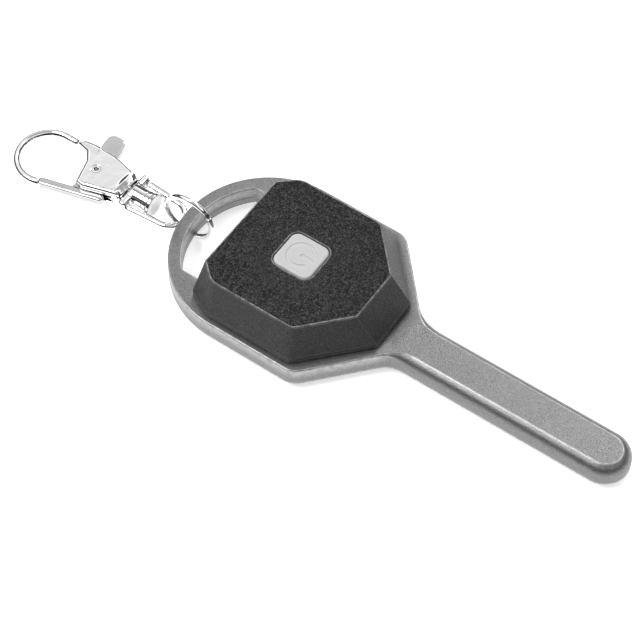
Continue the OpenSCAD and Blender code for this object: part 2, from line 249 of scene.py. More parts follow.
class Surface:
    """Patches gathered into one mesh."""

    def __init__(self) -> None:
        """Starts with no patches."""
        self.points: list[Array] = []
        self.quads: list[Array] = []
        self.triangles: list[Array] = []
        self.count = 0

    def _keep(self, points: Array) -> int:
        """Adds points and returns the number of the first."""
        first = self.count
        self.points.append(points.reshape(-1, 3))
        self.count += len(self.points[-1])
        return first

    def grid(self, points: Array, around: bool = True) -> None:
        """Adds a grid of points as quads.

        Args:
            points: (rows, columns, 3).
            around: whether the last column joins the first.
        """
        rows, columns = points.shape[:2]
        first = self._keep(points)
        number = first + np.arange(rows * columns).reshape(rows, columns)
        right = np.roll(number, -1, axis=1)
        if not around:
            number, right = number[:, :-1], right[:, :-1]
        cells = np.stack([number[:-1], right[:-1], right[1:], number[1:]], axis=-1)
        self.quads.append(cells.reshape(-1, 4))

    def rings(self, rings: Sequence[Array]) -> None:
        """Adds closed rings of equally many points as one grid."""
        self.grid(np.stack(rings))

    def cap(self, outer: Array, holes: Sequence[Array] = ()) -> None:
        """Fills a plan loop less its holes with triangles that keep every given edge.

        The triangles are chosen on a plan stretched by p (1 + k |p|^2), so that no three points of a
        straight side are quite in line and no triangle comes out flat.

        Args:
            outer: (n, 3) loop, level.
            holes: loops cut out of it.
        """
        flat = [loop[:, :2] for loop in (outer, *holes)]
        edges: list[tuple[int, int]] = []
        start = 0
        for loop in flat:
            n = len(loop)
            edges += [(start + i, start + (i + 1) % n) for i in range(n)]
            start += n
        plan = np.vstack(flat)
        stretched = plan * (1 + CAP_STRETCH * (plan**2).sum(axis=1, keepdims=True))
        found = delaunay_2d_cdt([Vector(p) for p in stretched], edges, [], 0, 1e-6)
        verts = np.array([tuple(v) for v in found[0]])
        faces = np.array([f for f in found[2]])
        middle = verts[faces].mean(axis=1)
        loops = np.split(stretched, np.cumsum([len(loop) for loop in flat])[:-1])
        keep = inside(middle, loops[0])
        for hole in loops[1:]:
            keep &= ~inside(middle, hole)
        first = self._keep(lifted(plan[[came[0] for came in found[3]]], float(outer[0, 2])))
        self.triangles.append(first + faces[keep])

    def pole(self, ring: Array, tip: Array) -> None:
        """Closes a ring with a fan to one point."""
        first = self._keep(np.vstack([ring, tip[None]]))
        n = len(ring)
        number = first + np.arange(n)
        self.triangles.append(np.column_stack([number, np.roll(number, -1), np.full(n, first + n)]))

    def piece(self, name: str, weld: float = 2e-4) -> bpy.types.Object:
        """Makes the object: welds the patches' shared edges and turns the faces outwards.

        Args:
            name: the object's name.
            weld: distance, in millimetres, under which points are one.

        Returns:
            The object, at the origin, in metres.
        """
        points = np.vstack(self.points) * MM
        sizes = [4] * sum(map(len, self.quads)) + [3] * sum(map(len, self.triangles))
        corners = np.concatenate([q.ravel() for q in self.quads + self.triangles])
        mesh = bpy.data.meshes.new(name)
        mesh.vertices.add(len(points))
        mesh.vertices.foreach_set("co", points.ravel())
        mesh.loops.add(len(corners))
        mesh.loops.foreach_set("vertex_index", corners.astype(np.int32))
        mesh.polygons.add(len(sizes))
        mesh.polygons.foreach_set("loop_start", np.concatenate([[0], np.cumsum(sizes)[:-1]]).astype(np.int32))
        mesh.polygons.foreach_set("loop_total", np.array(sizes, np.int32))
        mesh.update(calc_edges=True)
        work = bmesh.new()
        work.from_mesh(mesh)
        bmesh.ops.remove_doubles(work, verts=work.verts, dist=weld * MM)
        bmesh.ops.recalc_face_normals(work, faces=work.faces)
        work.to_mesh(mesh)
        work.free()
        mesh.shade_smooth()
        made = bpy.data.objects.new(name, mesh)
        bpy.context.scene.collection.objects.link(made)
        return made


def turned(profile: Array, count: int = 64) -> Array:
    """Lathe along X: each profile point (x, radius) swept round the axis.

    Args:
        profile: (rows, 2).
        count: points round.

    Returns:
        (rows, count, 3) about the X axis.
    """
    angle = np.linspace(0, 2 * math.pi, count, endpoint=False)
    x = np.repeat(profile[:, :1], count, axis=1)
    return np.stack([x, profile[:, 1:] * np.cos(angle), profile[:, 1:] * np.sin(angle)], axis=-1)


def softened(profile: Sequence[Sequence[float]], radii: Sequence[float], count: int = 6) -> Array:
    """Open profile with each inner corner rounded by a quadratic curve.

    Each corner b becomes (1-t)^2 p + 2t(1-t) b + t^2 q, where p and q lie radius before and after it.

    Args:
        profile: its points.
        radii: one distance for each inner corner.
        count: points in each curve.

    Returns:
        (n, 2) points.
    """
    points = np.array(profile, float)
    out = [points[:1]]
    t = np.linspace(0, 1, count)[:, None]
    for a, b, c, r in zip(points[:-2], points[1:-1], points[2:], radii):
        p = b + (a - b) / np.linalg.norm(a - b) * r
        q = b + (c - b) / np.linalg.norm(c - b) * r
        out.append((1 - t) ** 2 * p + 2 * t * (1 - t) * b + t**2 * q)
    out.append(points[-1:])
    return np.vstack(out)


# ---------------------------------------------------------------- solid fields


Field = Callable[[Array], Array]


def soft_union(a: Array, b: Array, blend: float) -> Array:
    """Union of two distance fields whose seam is filled: min(a, b) less a parabola of |a - b|."""
    h = np.clip(blend - np.abs(a - b), 0, None) / blend
    return np.minimum(a, b) - h * h * blend / 4


def soft_cut(a: Array, b: Array, blend: float) -> Array:
    """Field a less field b, with the cut's edge rounded."""
    return -soft_union(-a, b, blend)


def rod_field(p: Array, a: Sequence[float], b: Sequence[float], radius: float) -> Array:
    """Distance to the segment a-b, less the radius.

    Args:
        p: (..., 3) points.
        a: one end.
        b: the other end.
        radius: radius of the rod and its round ends.

    Returns:
        The field.
    """
    start, way = np.array(a, float), np.array(b, float) - np.array(a, float)
    share = np.clip(((p - start) @ way) / (way @ way), 0, 1)
    return np.linalg.norm(p - start - share[..., None] * way, axis=-1) - radius


def oval(flat: Array, tall: Array, half: Sequence[float]) -> Array:
    """Field of an oval section: (length of (flat / a, tall / b) - 1) times the smaller half."""
    return (np.hypot(flat / half[0], tall / half[1]) - 1) * min(half)


def bend_field(p: Array, centre: Sequence[float], radius: float, span: Sequence[float],
               half: Sequence[float]) -> Array:
    """Part of a ring in a level plane, of oval section, with round ends.

    Args:
        p: (..., 3) points.
        centre: centre of the bend, 3-D.
        radius: its mean radius.
        span: first and last angle in degrees, anticlockwise.
        half: the section's half width in the plane and half height.

    Returns:
        The field.
    """
    q = p - np.array(centre, float)
    angle = (np.degrees(np.arctan2(q[..., 1], q[..., 0])) - span[0]) % 360
    ring = oval(np.hypot(q[..., 0], q[..., 1]) - radius, q[..., 2], half)
    ends = [
        oval(np.hypot(q[..., 0] - radius * math.cos(math.radians(s)), q[..., 1] - radius * math.sin(math.radians(s))),
             q[..., 2], half)
        for s in span
    ]
    return np.where(angle <= span[1] - span[0], ring, np.minimum(*ends))


def plan_field(p: Array, loop: Array) -> Array:
    """Signed plan distance to a closed loop: the nearest edge's distance, negative inside."""
    flat = p[..., :2].reshape(-1, 2)
    near = np.full(len(flat), np.inf)
    for a, b in zip(loop, np.roll(loop, -1, axis=0)):
        way = b - a
        share = np.clip(((flat - a) @ way) / max(way @ way, 1e-12), 0, 1)
        near = np.minimum(near, np.linalg.norm(flat - a - share[:, None] * way, axis=1))
    return np.where(inside(flat, loop), -near, near).reshape(p.shape[:-1])


def slab_field(p: Array, loop: Sequence[Sequence[float]], low: float, high: float, edge: float) -> Array:
    """Upright block over a plan loop, with all its edges rounded.

    Args:
        p: (..., 3) points.
        loop: the plan loop.
        low: underside.
        high: top.
        edge: radius of the edges.

    Returns:
        The field: the outer distance of (plan distance, height distance), both taken in by edge.
    """
    plan = plan_field(p, np.array(loop, float)) + edge
    tall = np.abs(p[..., 2] - (low + high) / 2) - (high - low) / 2 + edge
    both = np.stack([plan, tall], axis=-1)
    return np.minimum(both.max(axis=-1), 0) + np.linalg.norm(np.maximum(both, 0), axis=-1) - edge


def skin(shape: Field, low: Array, high: Array, step: float) -> tuple[Array, Array]:
    """Surface where a field is zero, by surface nets.

    Each cell of the grid that the surface crosses gets one point, the mean of the crossings on its
    twelve edges, and each grid edge that it crosses gets the quad of the four cells round it. The
    points then slide down the field's gradient on to the surface.

    Args:
        shape: the field.
        low: lowest corner.
        high: highest corner.
        step: cell size.

    Returns:
        (n, 3) points and (m, 4) quads.
    """
    axes = [np.arange(a, b + step, step) for a, b in zip(low, high)]
    lattice = np.stack(np.meshgrid(*axes, indexing="ij"), axis=-1)
    value = shape(lattice)
    cells = tuple(n - 1 for n in value.shape)
    total, hits = np.zeros(cells + (3,)), np.zeros(cells)
    for axis in range(3):
        others = [k for k in range(3) if k != axis]
        for shift in ((0, 0), (0, 1), (1, 0), (1, 1)):
            here = [slice(0, cells[k]) for k in range(3)]
            for k, s in zip(others, shift):
                here[k] = slice(s, cells[k] + s)
            there = list(here)
            there[axis] = slice(1, cells[axis] + 1)
            v0, v1 = value[tuple(here)], value[tuple(there)]
            crossed = (v0 < 0) != (v1 < 0)
            share = np.where(crossed, v0 / np.where(v0 == v1, 1, v0 - v1), 0)[..., None]
            p0, p1 = lattice[tuple(here)], lattice[tuple(there)]
            total += (p0 + share * (p1 - p0)) * crossed[..., None]
            hits += crossed
    used = hits > 0
    number = np.full(cells, -1)
    number[used] = np.arange(used.sum())
    points = total[used] / hits[used][:, None]
    quads = []
    for axis in range(3):
        b, c = (axis + 1) % 3, (axis + 2) % 3
        spans = [slice(0, cells[k]) for k in range(3)]
        spans[b], spans[c] = slice(1, cells[b]), slice(1, cells[c])
        ends = list(spans)
        ends[axis] = slice(1, cells[axis] + 1)
        v0, v1 = value[tuple(spans)], value[tuple(ends)]
        crossed = (v0 < 0) != (v1 < 0)
        corner_cells = []
        for db, dc in ((1, 1), (0, 1), (0, 0), (1, 0)):
            pick = list(spans)
            pick[b] = slice(1 - db, cells[b] - db)
            pick[c] = slice(1 - dc, cells[c] - dc)
            corner_cells.append(number[tuple(pick)][crossed])
        quad = np.stack(corner_cells, axis=-1)
        flip = v0[crossed] > 0
        quad[flip] = quad[flip][:, ::-1]
        quads.append(quad)
    nudge = step * 0.05
    for _ in range(3):
        slope = np.stack(
            [shape(points + nudge * e) - shape(points - nudge * e) for e in np.eye(3)], axis=-1
        ) / (2 * nudge)
        size = np.maximum((slope**2).sum(axis=-1), 0.05)
        move = shape(points)[:, None] * slope / size[:, None]
        points = points - np.clip(move, -step / 3, step / 3)
    return points, np.vstack(quads)


def field_piece(name: str, shape: Field, low: Array, high: Array, step: float = 0.14) -> bpy.types.Object:
    """Object made of a field's skin.

    Args:
        name: the object's name.
        shape: the field, in millimetres.
        low: lowest corner to look in.
        high: highest corner to look in.
        step: cell size.

    Returns:
        The object.
    """
    surface = Surface()
    points, quads = skin(shape, low, high, step)
    surface.points.append(points)
    surface.quads.append(quads)
    surface.count = len(points)
    return surface.piece(name, weld=1e-5)


# ---------------------------------------------------------------- node groups and finishes


class Slot(Enum):
    """Material slots of the record that the pieces take their finish from."""

    SILVER = "satin_silver"
    CHARCOAL = "charcoal_plastic"
    SILICONE = "grey_silicone"
    BLACK = "black_plastic"
    SWITCH = "switch_steel"
    BOARD = "board_green"
    LAMP_BOARD = "board_white"
    PHOSPHOR = "phosphor"
    LENS = "lens"
    CELL = "cell_steel"
    BRASS = "contact_brass"
    RUBBER = "seal_rubber"
    SCREW = "screw_steel"
    NICKEL = "bright_nickel"


class Wiring:
    """Short hand for adding nodes to a tree and joining them."""

    def __init__(self, tree: bpy.types.NodeTree) -> None:
        """Keeps the tree."""
        self.tree = tree

    def add(self, kind: str, inputs: dict[int | str, object] | None = None, **settings: object) -> bpy.types.Node:
        """Adds a node.

        Args:
            kind: the node's type.
            inputs: values or output sockets for its inputs.
            settings: its properties.

        Returns:
            The node.
        """
        node = self.tree.nodes.new(kind)
        for key, value in settings.items():
            setattr(node, key, value)
        for key, value in (inputs or {}).items():
            if isinstance(value, bpy.types.NodeSocket):
                self.tree.links.new(value, node.inputs[key])
            else:
                node.inputs[key].default_value = value
        return node

    def maths(self, operation: str, a: object, b: object = 0.0, c: object = 0.0) -> bpy.types.NodeSocket:
        """One Math node; returns its output."""
        return self.add("ShaderNodeMath", {0: a, 1: b, 2: c}, operation=operation).outputs[0]

    def ramp(self, value: object, low: float, high: float, start: float = 0.0, end: float = 1.0,
             kind: str = "SMOOTHSTEP") -> bpy.types.NodeSocket:
        """Maps low..high of a value to start..end, clamped; returns the result."""
        return self.add("ShaderNodeMapRange", {0: value, 1: low, 2: high, 3: start, 4: end},
                        interpolation_type=kind).outputs[0]

    def noise(self, place: object, size: float | object, detail: float = 2.0,
              rough: float = 0.5) -> bpy.types.NodeSocket:
        """Noise whose blobs are about a size, in millimetres, across; returns its value."""
        scale = self.maths("DIVIDE", 1 / MM, size) if isinstance(size, bpy.types.NodeSocket) else 1 / (size * MM)
        return self.add("ShaderNodeTexNoise", {"Vector": place, "Scale": scale, "Detail": detail,
                                               "Roughness": rough}).outputs[0]

    def blend(self, share: object, a: object, b: object) -> bpy.types.NodeSocket:
        """Mixes two colours; returns the result."""
        node = self.add("ShaderNodeMix", data_type="RGBA")
        for socket, value in ((node.inputs[0], share), (node.inputs[6], a), (node.inputs[7], b)):
            if isinstance(value, bpy.types.NodeSocket):
                self.tree.links.new(value, socket)
            else:
                socket.default_value = value
        return node.outputs[2]


def group(name: str, ins: dict[str, tuple[str, object]], outs: dict[str, str]) -> tuple[bpy.types.NodeTree, Wiring]:
    """Starts a shader node group with named sockets.

    Args:
        name: the group's name.
        ins: socket name to its kind and first value.
        outs: socket name to its kind.

    Returns:
        The tree and its wiring.
    """
    tree = bpy.data.node_groups.new(name, "ShaderNodeTree")
    for socket, (kind, value) in ins.items():
        made = tree.interface.new_socket(socket, in_out="INPUT", socket_type=kind)
        made.default_value = value
    for socket, kind in outs.items():
        tree.interface.new_socket(socket, in_out="OUTPUT", socket_type=kind)
    return tree, Wiring(tree)


FLOAT, COLOUR = "NodeSocketFloat", "NodeSocketColor"
GREY = (0.5, 0.5, 0.5, 1.0)


def worked_surface() -> bpy.types.NodeTree:
    """Group for a made surface: grain, cloudy shade, handling dust, and convex edges lightened partly as wear and
    partly as a painted highlight.

    Returns:
        The group, with outputs Colour, Roughness and Height.
    """
    tree, wire = group(
        "worked_surface",
        {"Colour": (COLOUR, GREY), "Grain": (FLOAT, 0.1), "Fleck": (FLOAT, 0.1), "Cloud": (FLOAT, 0.05),
         "Roughness": (FLOAT, 0.4), "Spread": (FLOAT, 0.1), "Wear And Edge Highlight": (FLOAT, 0.2), "Worn And Highlight Colour": (COLOUR, GREY),
         "Dust": (FLOAT, 0.05)},
        {"Colour": COLOUR, "Roughness": FLOAT, "Height": FLOAT},
    )
    use = wire.add("NodeGroupInput").outputs
    place = wire.add("ShaderNodeTexCoord").outputs["Object"]
    grain = wire.noise(place, use["Grain"], 3.0, 0.6)
    cloud = wire.noise(place, 7.0, 3.0)
    patch = wire.noise(place, 1.1, 4.0, 0.65)
    shade: object = 1.0
    for pattern, amount in ((grain, use["Fleck"]), (cloud, use["Cloud"])):
        shade = wire.maths("MULTIPLY_ADD", wire.maths("SUBTRACT", pattern, 0.5), wire.maths("MULTIPLY", amount, 2), shade)
    tinted = wire.add("ShaderNodeVectorMath", {0: use["Colour"], "Scale": shade}, operation="SCALE").outputs[0]
    # convex edges are lightened, partly as rubbed wear and partly as a painted highlight along creases and edges
    bend = wire.add("ShaderNodeAttribute", attribute_name="bend").outputs["Fac"]
    rubbed_and_highlit = wire.maths("MULTIPLY", wire.ramp(bend, 0.5, 2.2), wire.ramp(patch, 0.38, 0.6, 0.45, 1.0))
    rubbed_and_highlit = wire.maths("MULTIPLY", rubbed_and_highlit, use["Wear And Edge Highlight"])
    worn_and_highlight_colour = wire.blend(rubbed_and_highlit, tinted, use["Worn And Highlight Colour"])
    specks = wire.maths("MULTIPLY", wire.ramp(wire.noise(place, 0.22, 1.0), 0.68, 0.76), use["Dust"])
    dusty = wire.blend(specks, worn_and_highlight_colour, (0.75, 0.74, 0.72, 1.0))
    rough = wire.maths("MULTIPLY_ADD", wire.maths("SUBTRACT", patch, 0.5), use["Spread"], use["Roughness"])
    rough = wire.maths("MULTIPLY_ADD", specks, 0.4, rough)
    out = wire.add("NodeGroupOutput")
    for key, socket in (("Colour", dusty), ("Roughness", rough), ("Height", grain)):
        tree.links.new(socket, out.inputs[key])
    return tree


def cast_waves() -> bpy.types.NodeTree:
    """Group for the slow unevenness that casting and barrel polishing leave, with fine hairlines.

    Returns:
        The group, with outputs Height and Hairline.
    """
    tree, wire = group("cast_waves", {"Wave": (FLOAT, 3.0), "Dimple": (FLOAT, 0.8)},
                       {"Height": FLOAT, "Hairline": FLOAT})
    use = wire.add("NodeGroupInput").outputs
    place = wire.add("ShaderNodeTexCoord").outputs["Object"]
    slow = wire.noise(place, use["Wave"], 1.0)
    quick = wire.noise(place, use["Dimple"], 2.0)
    height = wire.maths("MULTIPLY_ADD", quick, 0.25, slow)
    stretched = wire.add("ShaderNodeMapping", {"Vector": place, "Rotation": (0.3, 0.5, 0.6),
                                               "Scale": (1.0, 14.0, 14.0)})
    scratch = wire.noise(stretched.outputs[0], 1.2, 2.0)
    hairline = wire.ramp(wire.maths("ABSOLUTE", wire.maths("SUBTRACT", scratch, 0.5)), 0.0, 0.012, 1.0, 0.0)
    out = wire.add("NodeGroupOutput")
    tree.links.new(height, out.inputs["Height"])
    tree.links.new(hairline, out.inputs["Hairline"])
    return tree


def spark_grain() -> bpy.types.NodeTree:
    """Group for a spark-eroded mould texture: coarse on the flat top, finer on the slopes.

    Returns:
        The group, with outputs Height, Slope, and a mask of bright specks painted on the flat top as glints of its
        rough grain.
    """
    tree, wire = group("spark_grain", {"Coarse": (FLOAT, 0.3), "Fine": (FLOAT, 0.12), "Slope Depth": (FLOAT, 0.3)},
                       {"Height": FLOAT, "Painted Glint": FLOAT, "Slope": FLOAT})
    use = wire.add("NodeGroupInput").outputs
    where = wire.add("ShaderNodeTexCoord").outputs
    lean = wire.add("ShaderNodeSeparateXYZ", {0: where["Normal"]}).outputs["Z"]
    slope = wire.ramp(lean, 0.8, 0.96, 1.0, 0.0)
    coarse = wire.noise(where["Object"], use["Coarse"], 2.0, 0.6)
    fine = wire.noise(where["Object"], use["Fine"], 2.0, 0.6)
    bumps = wire.add("ShaderNodeTexVoronoi", {"Vector": where["Object"],
                                              "Scale": wire.maths("DIVIDE", 1 / MM, use["Coarse"])}).outputs[0]
    pitted = wire.maths("MULTIPLY_ADD", bumps, 0.6, coarse)
    flat = wire.maths("MULTIPLY", pitted, wire.maths("SUBTRACT", 1.0, slope))
    sloped = wire.maths("MULTIPLY", wire.maths("MULTIPLY", fine, use["Slope Depth"]), slope)
    # bright specks painted on the flat top as the rough grain's glints
    painted_glint = wire.maths("MULTIPLY", wire.ramp(coarse, 0.46, 0.6), wire.ramp(fine, 0.36, 0.56))
    out = wire.add("NodeGroupOutput")
    tree.links.new(wire.maths("ADD", flat, sloped), out.inputs["Height"])
    tree.links.new(painted_glint, out.inputs["Painted Glint"])
    tree.links.new(slope, out.inputs["Slope"])
    return tree


@dataclass(frozen=True)
class Finish:
    """Plain worked finish: what the shader's sockets and the surface group are given."""

    slot: Slot
    colour: tuple[float, float, float]
    metallic: float = 0.0
    roughness: float = 0.4
    spread: float = 0.12
    grain: float = 0.12
    depth: float = 0.01
    fleck: float = 0.1
    cloud: float = 0.05
    # edge lightening: partly wear, partly a painted highlight
    wear_and_edge_highlight: float = 0.3
    worn_and_highlight_colour: tuple[float, float, float] = (0.7, 0.7, 0.7)
    dust: float = 0.05
    coat: float = 0.0
    transmission: float = 0.0
    scatter: float = 0.0
    ior: float = 1.5
    variant: str = ""

    def start(self) -> tuple[bpy.types.Material, Wiring, bpy.types.Node, bpy.types.Node]:
        """Makes the material, its shader and its surface group.

        Returns:
            The material, its wiring, the shader and the group node.
        """
        made = bpy.data.materials.new(self.slot.value + self.variant)
        made.use_nodes = True
        made.node_tree.nodes.clear()
        wire = Wiring(made.node_tree)
        shader = wire.add("ShaderNodeBsdfPrincipled", {
            "Metallic": self.metallic, "Coat Weight": self.coat, "Coat Roughness": 0.08,
            "Transmission Weight": self.transmission, "IOR": self.ior,
            "Subsurface Weight": self.scatter, "Subsurface Scale": 0.001,
        })
        wire.add("ShaderNodeOutputMaterial", {0: shader.outputs[0]})
        surface = wire.add("ShaderNodeGroup", node_tree=bpy.data.node_groups["worked_surface"])
        for key, value in (("Colour", (*self.colour, 1.0)), ("Grain", self.grain), ("Fleck", self.fleck),
                           ("Cloud", self.cloud), ("Roughness", self.roughness), ("Spread", self.spread),
                           ("Wear And Edge Highlight", self.wear_and_edge_highlight), ("Worn And Highlight Colour", (*self.worn_and_highlight_colour, 1.0)), ("Dust", self.dust)):
            surface.inputs[key].default_value = value
        return made, wire, shader, surface

    def material(self) -> bpy.types.Material:
        """Joins the surface group to the shader.

        Returns:
            The finished material.
        """
        made, wire, shader, surface = self.start()
        bump = wire.add("ShaderNodeBump", {"Strength": 1.0, "Distance": self.depth * MM,
                                           "Height": surface.outputs["Height"]})
        for key, socket in (("Base Color", surface.outputs["Colour"]), ("Roughness", surface.outputs["Roughness"]),
                            ("Normal", bump.outputs[0])):
            made.node_tree.links.new(socket, shader.inputs[key])
        return made


@dataclass(frozen=True)
class Nickel(Finish):
    """Barrel-polished nickel plate: mirror bright, with slow waves and hairlines."""

    wave: float = 3.5
    wave_depth: float = 0.05

    def material(self) -> bpy.types.Material:
        """Adds the cast waves to the worked surface.

        Returns:
            The finished material.
        """
        made, wire, shader, surface = self.start()
        cast = wire.add("ShaderNodeGroup", {"Wave": self.wave, "Dimple": 0.9},
                        node_tree=bpy.data.node_groups["cast_waves"])
        rough = wire.maths("MULTIPLY_ADD", cast.outputs["Hairline"], 0.12, surface.outputs["Roughness"])
        waves = wire.add("ShaderNodeBump", {"Strength": 1.0, "Distance": self.wave_depth * MM,
                                            "Height": cast.outputs["Height"]})
        fine = wire.add("ShaderNodeBump", {"Strength": 1.0, "Distance": self.depth * MM,
                                           "Height": surface.outputs["Height"], "Normal": waves.outputs[0]})
        for key, socket in (("Base Color", surface.outputs["Colour"]), ("Roughness", rough),
                            ("Normal", fine.outputs[0])):
            made.node_tree.links.new(socket, shader.inputs[key])
        return made


@dataclass(frozen=True)
class SparkPlastic(Finish):
    """Charcoal plastic from a spark-eroded mould, finer on its slopes, whose colour is darkened there as painted
    shade, with painted glints speckling its flat top.
    """

    coarse: float = 0.26
    fine: float = 0.2
    slope_depth: float = 0.2
    # the slope scale is painted shade; the speck colour and amount are painted glints
    painted_slope_shade: float = 0.12
    painted_glint_colour: tuple[float, float, float] = (0.22, 0.22, 0.22)
    painted_glint: float = 1.0

    def material(self) -> bpy.types.Material:
        """Lays the spark grain over the worked surface.

        Returns:
            The finished material.
        """
        made, wire, shader, surface = self.start()
        spark = wire.add("ShaderNodeGroup", {"Coarse": self.coarse, "Fine": self.fine,
                                             "Slope Depth": self.slope_depth},
                         node_tree=bpy.data.node_groups["spark_grain"])
        # painted shade: the slopes' colour is scaled down so that the bevels look shaded
        slopes_painted_darker = wire.add("ShaderNodeVectorMath", {0: surface.outputs["Colour"], "Scale": self.painted_slope_shade},
                          operation="SCALE").outputs[0]
        sides = wire.blend(spark.outputs["Slope"], surface.outputs["Colour"], slopes_painted_darker)
        # painted glints: bright specks on the flat top, fewer on the slopes
        share = wire.maths("MULTIPLY", spark.outputs["Painted Glint"], self.painted_glint)
        share = wire.maths("MULTIPLY", share, wire.ramp(spark.outputs["Slope"], 0.0, 1.0, 1.0, 0.15))
        glints_painted = wire.blend(share, sides, (*self.painted_glint_colour, 1.0))
        bump = wire.add("ShaderNodeBump", {"Strength": 1.0, "Distance": self.depth * MM,
                                           "Height": spark.outputs["Height"]})
        for key, socket in (("Base Color", glints_painted), ("Roughness", surface.outputs["Roughness"]),
                            ("Normal", bump.outputs[0])):
            made.node_tree.links.new(socket, shader.inputs[key])
        return made


FINISHES: tuple[Finish, ...] = (
    # on the silver and the charcoal the lightened edges are mostly a painted highlight along the top creases
    Finish(Slot.SILVER, (0.2, 0.2, 0.2), metallic=0.8, roughness=0.31, spread=0.08, grain=0.18, depth=0.05,
           fleck=1.1, cloud=0.03, wear_and_edge_highlight=0.45, worn_and_highlight_colour=(0.6, 0.6, 0.6), dust=0.0),
    SparkPlastic(Slot.CHARCOAL, (0.022, 0.022, 0.023), roughness=0.32, spread=0.1, grain=0.3, depth=1.1,
                 fleck=2.0, cloud=0.4, wear_and_edge_highlight=1.0, worn_and_highlight_colour=(0.75, 0.75, 0.75), dust=0.0),
    Finish(Slot.SILICONE, (0.47, 0.47, 0.47), roughness=0.5, spread=0.1, grain=0.14, depth=0.006, fleck=0.04,
           cloud=0.03, wear_and_edge_highlight=0.3, worn_and_highlight_colour=(0.75, 0.75, 0.75), dust=0.0, scatter=0.03),
    Finish(Slot.BLACK, (0.02, 0.02, 0.022), roughness=0.5, grain=0.1, depth=0.01, wear_and_edge_highlight=0.2, worn_and_highlight_colour=(0.1, 0.1, 0.1)),
    Finish(Slot.SWITCH, (0.55, 0.55, 0.56), metallic=1.0, roughness=0.3, grain=0.15, depth=0.004),
    Finish(Slot.BOARD, (0.02, 0.12, 0.05), roughness=0.35, grain=0.5, depth=0.01, fleck=0.25, coat=0.4),
    Finish(Slot.LAMP_BOARD, (0.8, 0.8, 0.78), roughness=0.4, grain=0.4, depth=0.006, fleck=0.05),
    Finish(Slot.PHOSPHOR, (0.85, 0.62, 0.12), roughness=0.5, grain=0.2, depth=0.02, fleck=0.15, scatter=0.1),
    Finish(Slot.LENS, (0.86, 0.88, 0.88), roughness=0.28, spread=0.1, grain=0.25, depth=0.006, fleck=0.03,
           wear_and_edge_highlight=0.1, transmission=0.75, ior=1.49),
    Finish(Slot.CELL, (0.62, 0.61, 0.6), metallic=1.0, roughness=0.25, grain=0.2, depth=0.004, fleck=0.06),
    Finish(Slot.BRASS, (0.75, 0.55, 0.25), metallic=1.0, roughness=0.3, grain=0.2, depth=0.005),
    Finish(Slot.RUBBER, (0.025, 0.025, 0.027), roughness=0.7, grain=0.1, depth=0.01, wear_and_edge_highlight=0.0),
    Finish(Slot.SCREW, (0.5, 0.5, 0.51), metallic=1.0, roughness=0.28, grain=0.12, depth=0.006, wear_and_edge_highlight=0.3),
    Nickel(Slot.NICKEL, (0.8, 0.8, 0.8), metallic=1.0, roughness=0.06, spread=0.05, grain=0.3, depth=0.0012,
           fleck=0.02, cloud=0.02, wear_and_edge_highlight=0.1, worn_and_highlight_colour=(0.8, 0.78, 0.74), dust=0.0),
    # the satin copy is rougher, and its darker colour is painted shade for the greyer-looking lever and stem head
    Nickel(Slot.NICKEL, (0.5, 0.5, 0.5), metallic=1.0, roughness=0.16, spread=0.1, grain=0.2, depth=0.006,
           fleck=0.15, cloud=0.05, wear_and_edge_highlight=0.4, worn_and_highlight_colour=(0.8, 0.8, 0.8), dust=0.0, variant="_satin"),
)


class Wardrobe:
    """Every finish as a material, made once."""

    def __init__(self, finishes: Sequence[Finish]) -> None:
        """Builds the shared groups and the materials.

        Args:
            finishes: the finishes, one a slot.
        """
        for build in (worked_surface, cast_waves, spark_grain):
            build()
        self.made = {(finish.slot, finish.variant): finish.material() for finish in finishes}

    def dress(self, piece: bpy.types.Object, slot: Slot, variant: str = "") -> None:
        """Gives a piece, or a CAD node, one finish."""
        piece.data.materials.clear()
        piece.data.materials.append(self.made[slot, variant])

    def fit(self, piece: bpy.types.Object, body: str, slot: Slot, *nodes: str, variant: str = "") -> None:
        """Dresses a new piece, and ties it to its body and to the nodes that it stands for.

        Args:
            piece: the new object.
            body: the body that it moves with.
            slot: its finish.
            nodes: the CAD nodes that it replaces.
            variant: which make of that finish.
        """
        bent(piece.data)
        self.dress(piece, slot, variant)
        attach(piece, body)
        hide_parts(*nodes)
        log.info("%s: %d faces, %s on %s", piece.name, len(piece.data.polygons), slot.value, body)


def bent(mesh: bpy.types.Mesh) -> None:
    """Writes the attribute bend: how sharply the surface turns outwards at each point, per millimetre.

    Along an edge from p to q with normals m and n the surface turns by (n - m).(q - p) / |q - p|^2.
    A point keeps the most of its edges. Edges that turn less than FLAT are taken as flat.

    Args:
        mesh: the mesh.
    """
    n, edges = len(mesh.vertices), len(mesh.edges)
    places, normals, ends = np.empty(n * 3), np.empty(n * 3), np.empty(edges * 2, np.int32)
    mesh.vertices.foreach_get("co", places)
    mesh.vertices.foreach_get("normal", normals)
    mesh.edges.foreach_get("vertices", ends)
    places, normals, ends = places.reshape(-1, 3), normals.reshape(-1, 3), ends.reshape(-1, 2)
    way = places[ends[:, 1]] - places[ends[:, 0]]
    lean = normals[ends[:, 1]] - normals[ends[:, 0]]
    turn = (lean * way).sum(axis=1) * MM / np.maximum((way**2).sum(axis=1), 1e-12)
    turn[(lean**2).sum(axis=1) < FLAT**2] = 0.0
    most = np.zeros(n)
    np.maximum.at(most, ends.ravel(), np.repeat(turn, 2))
    layer = mesh.attributes.new("bend", "FLOAT", "POINT")
    layer.data.foreach_set("value", most.astype(np.float32))


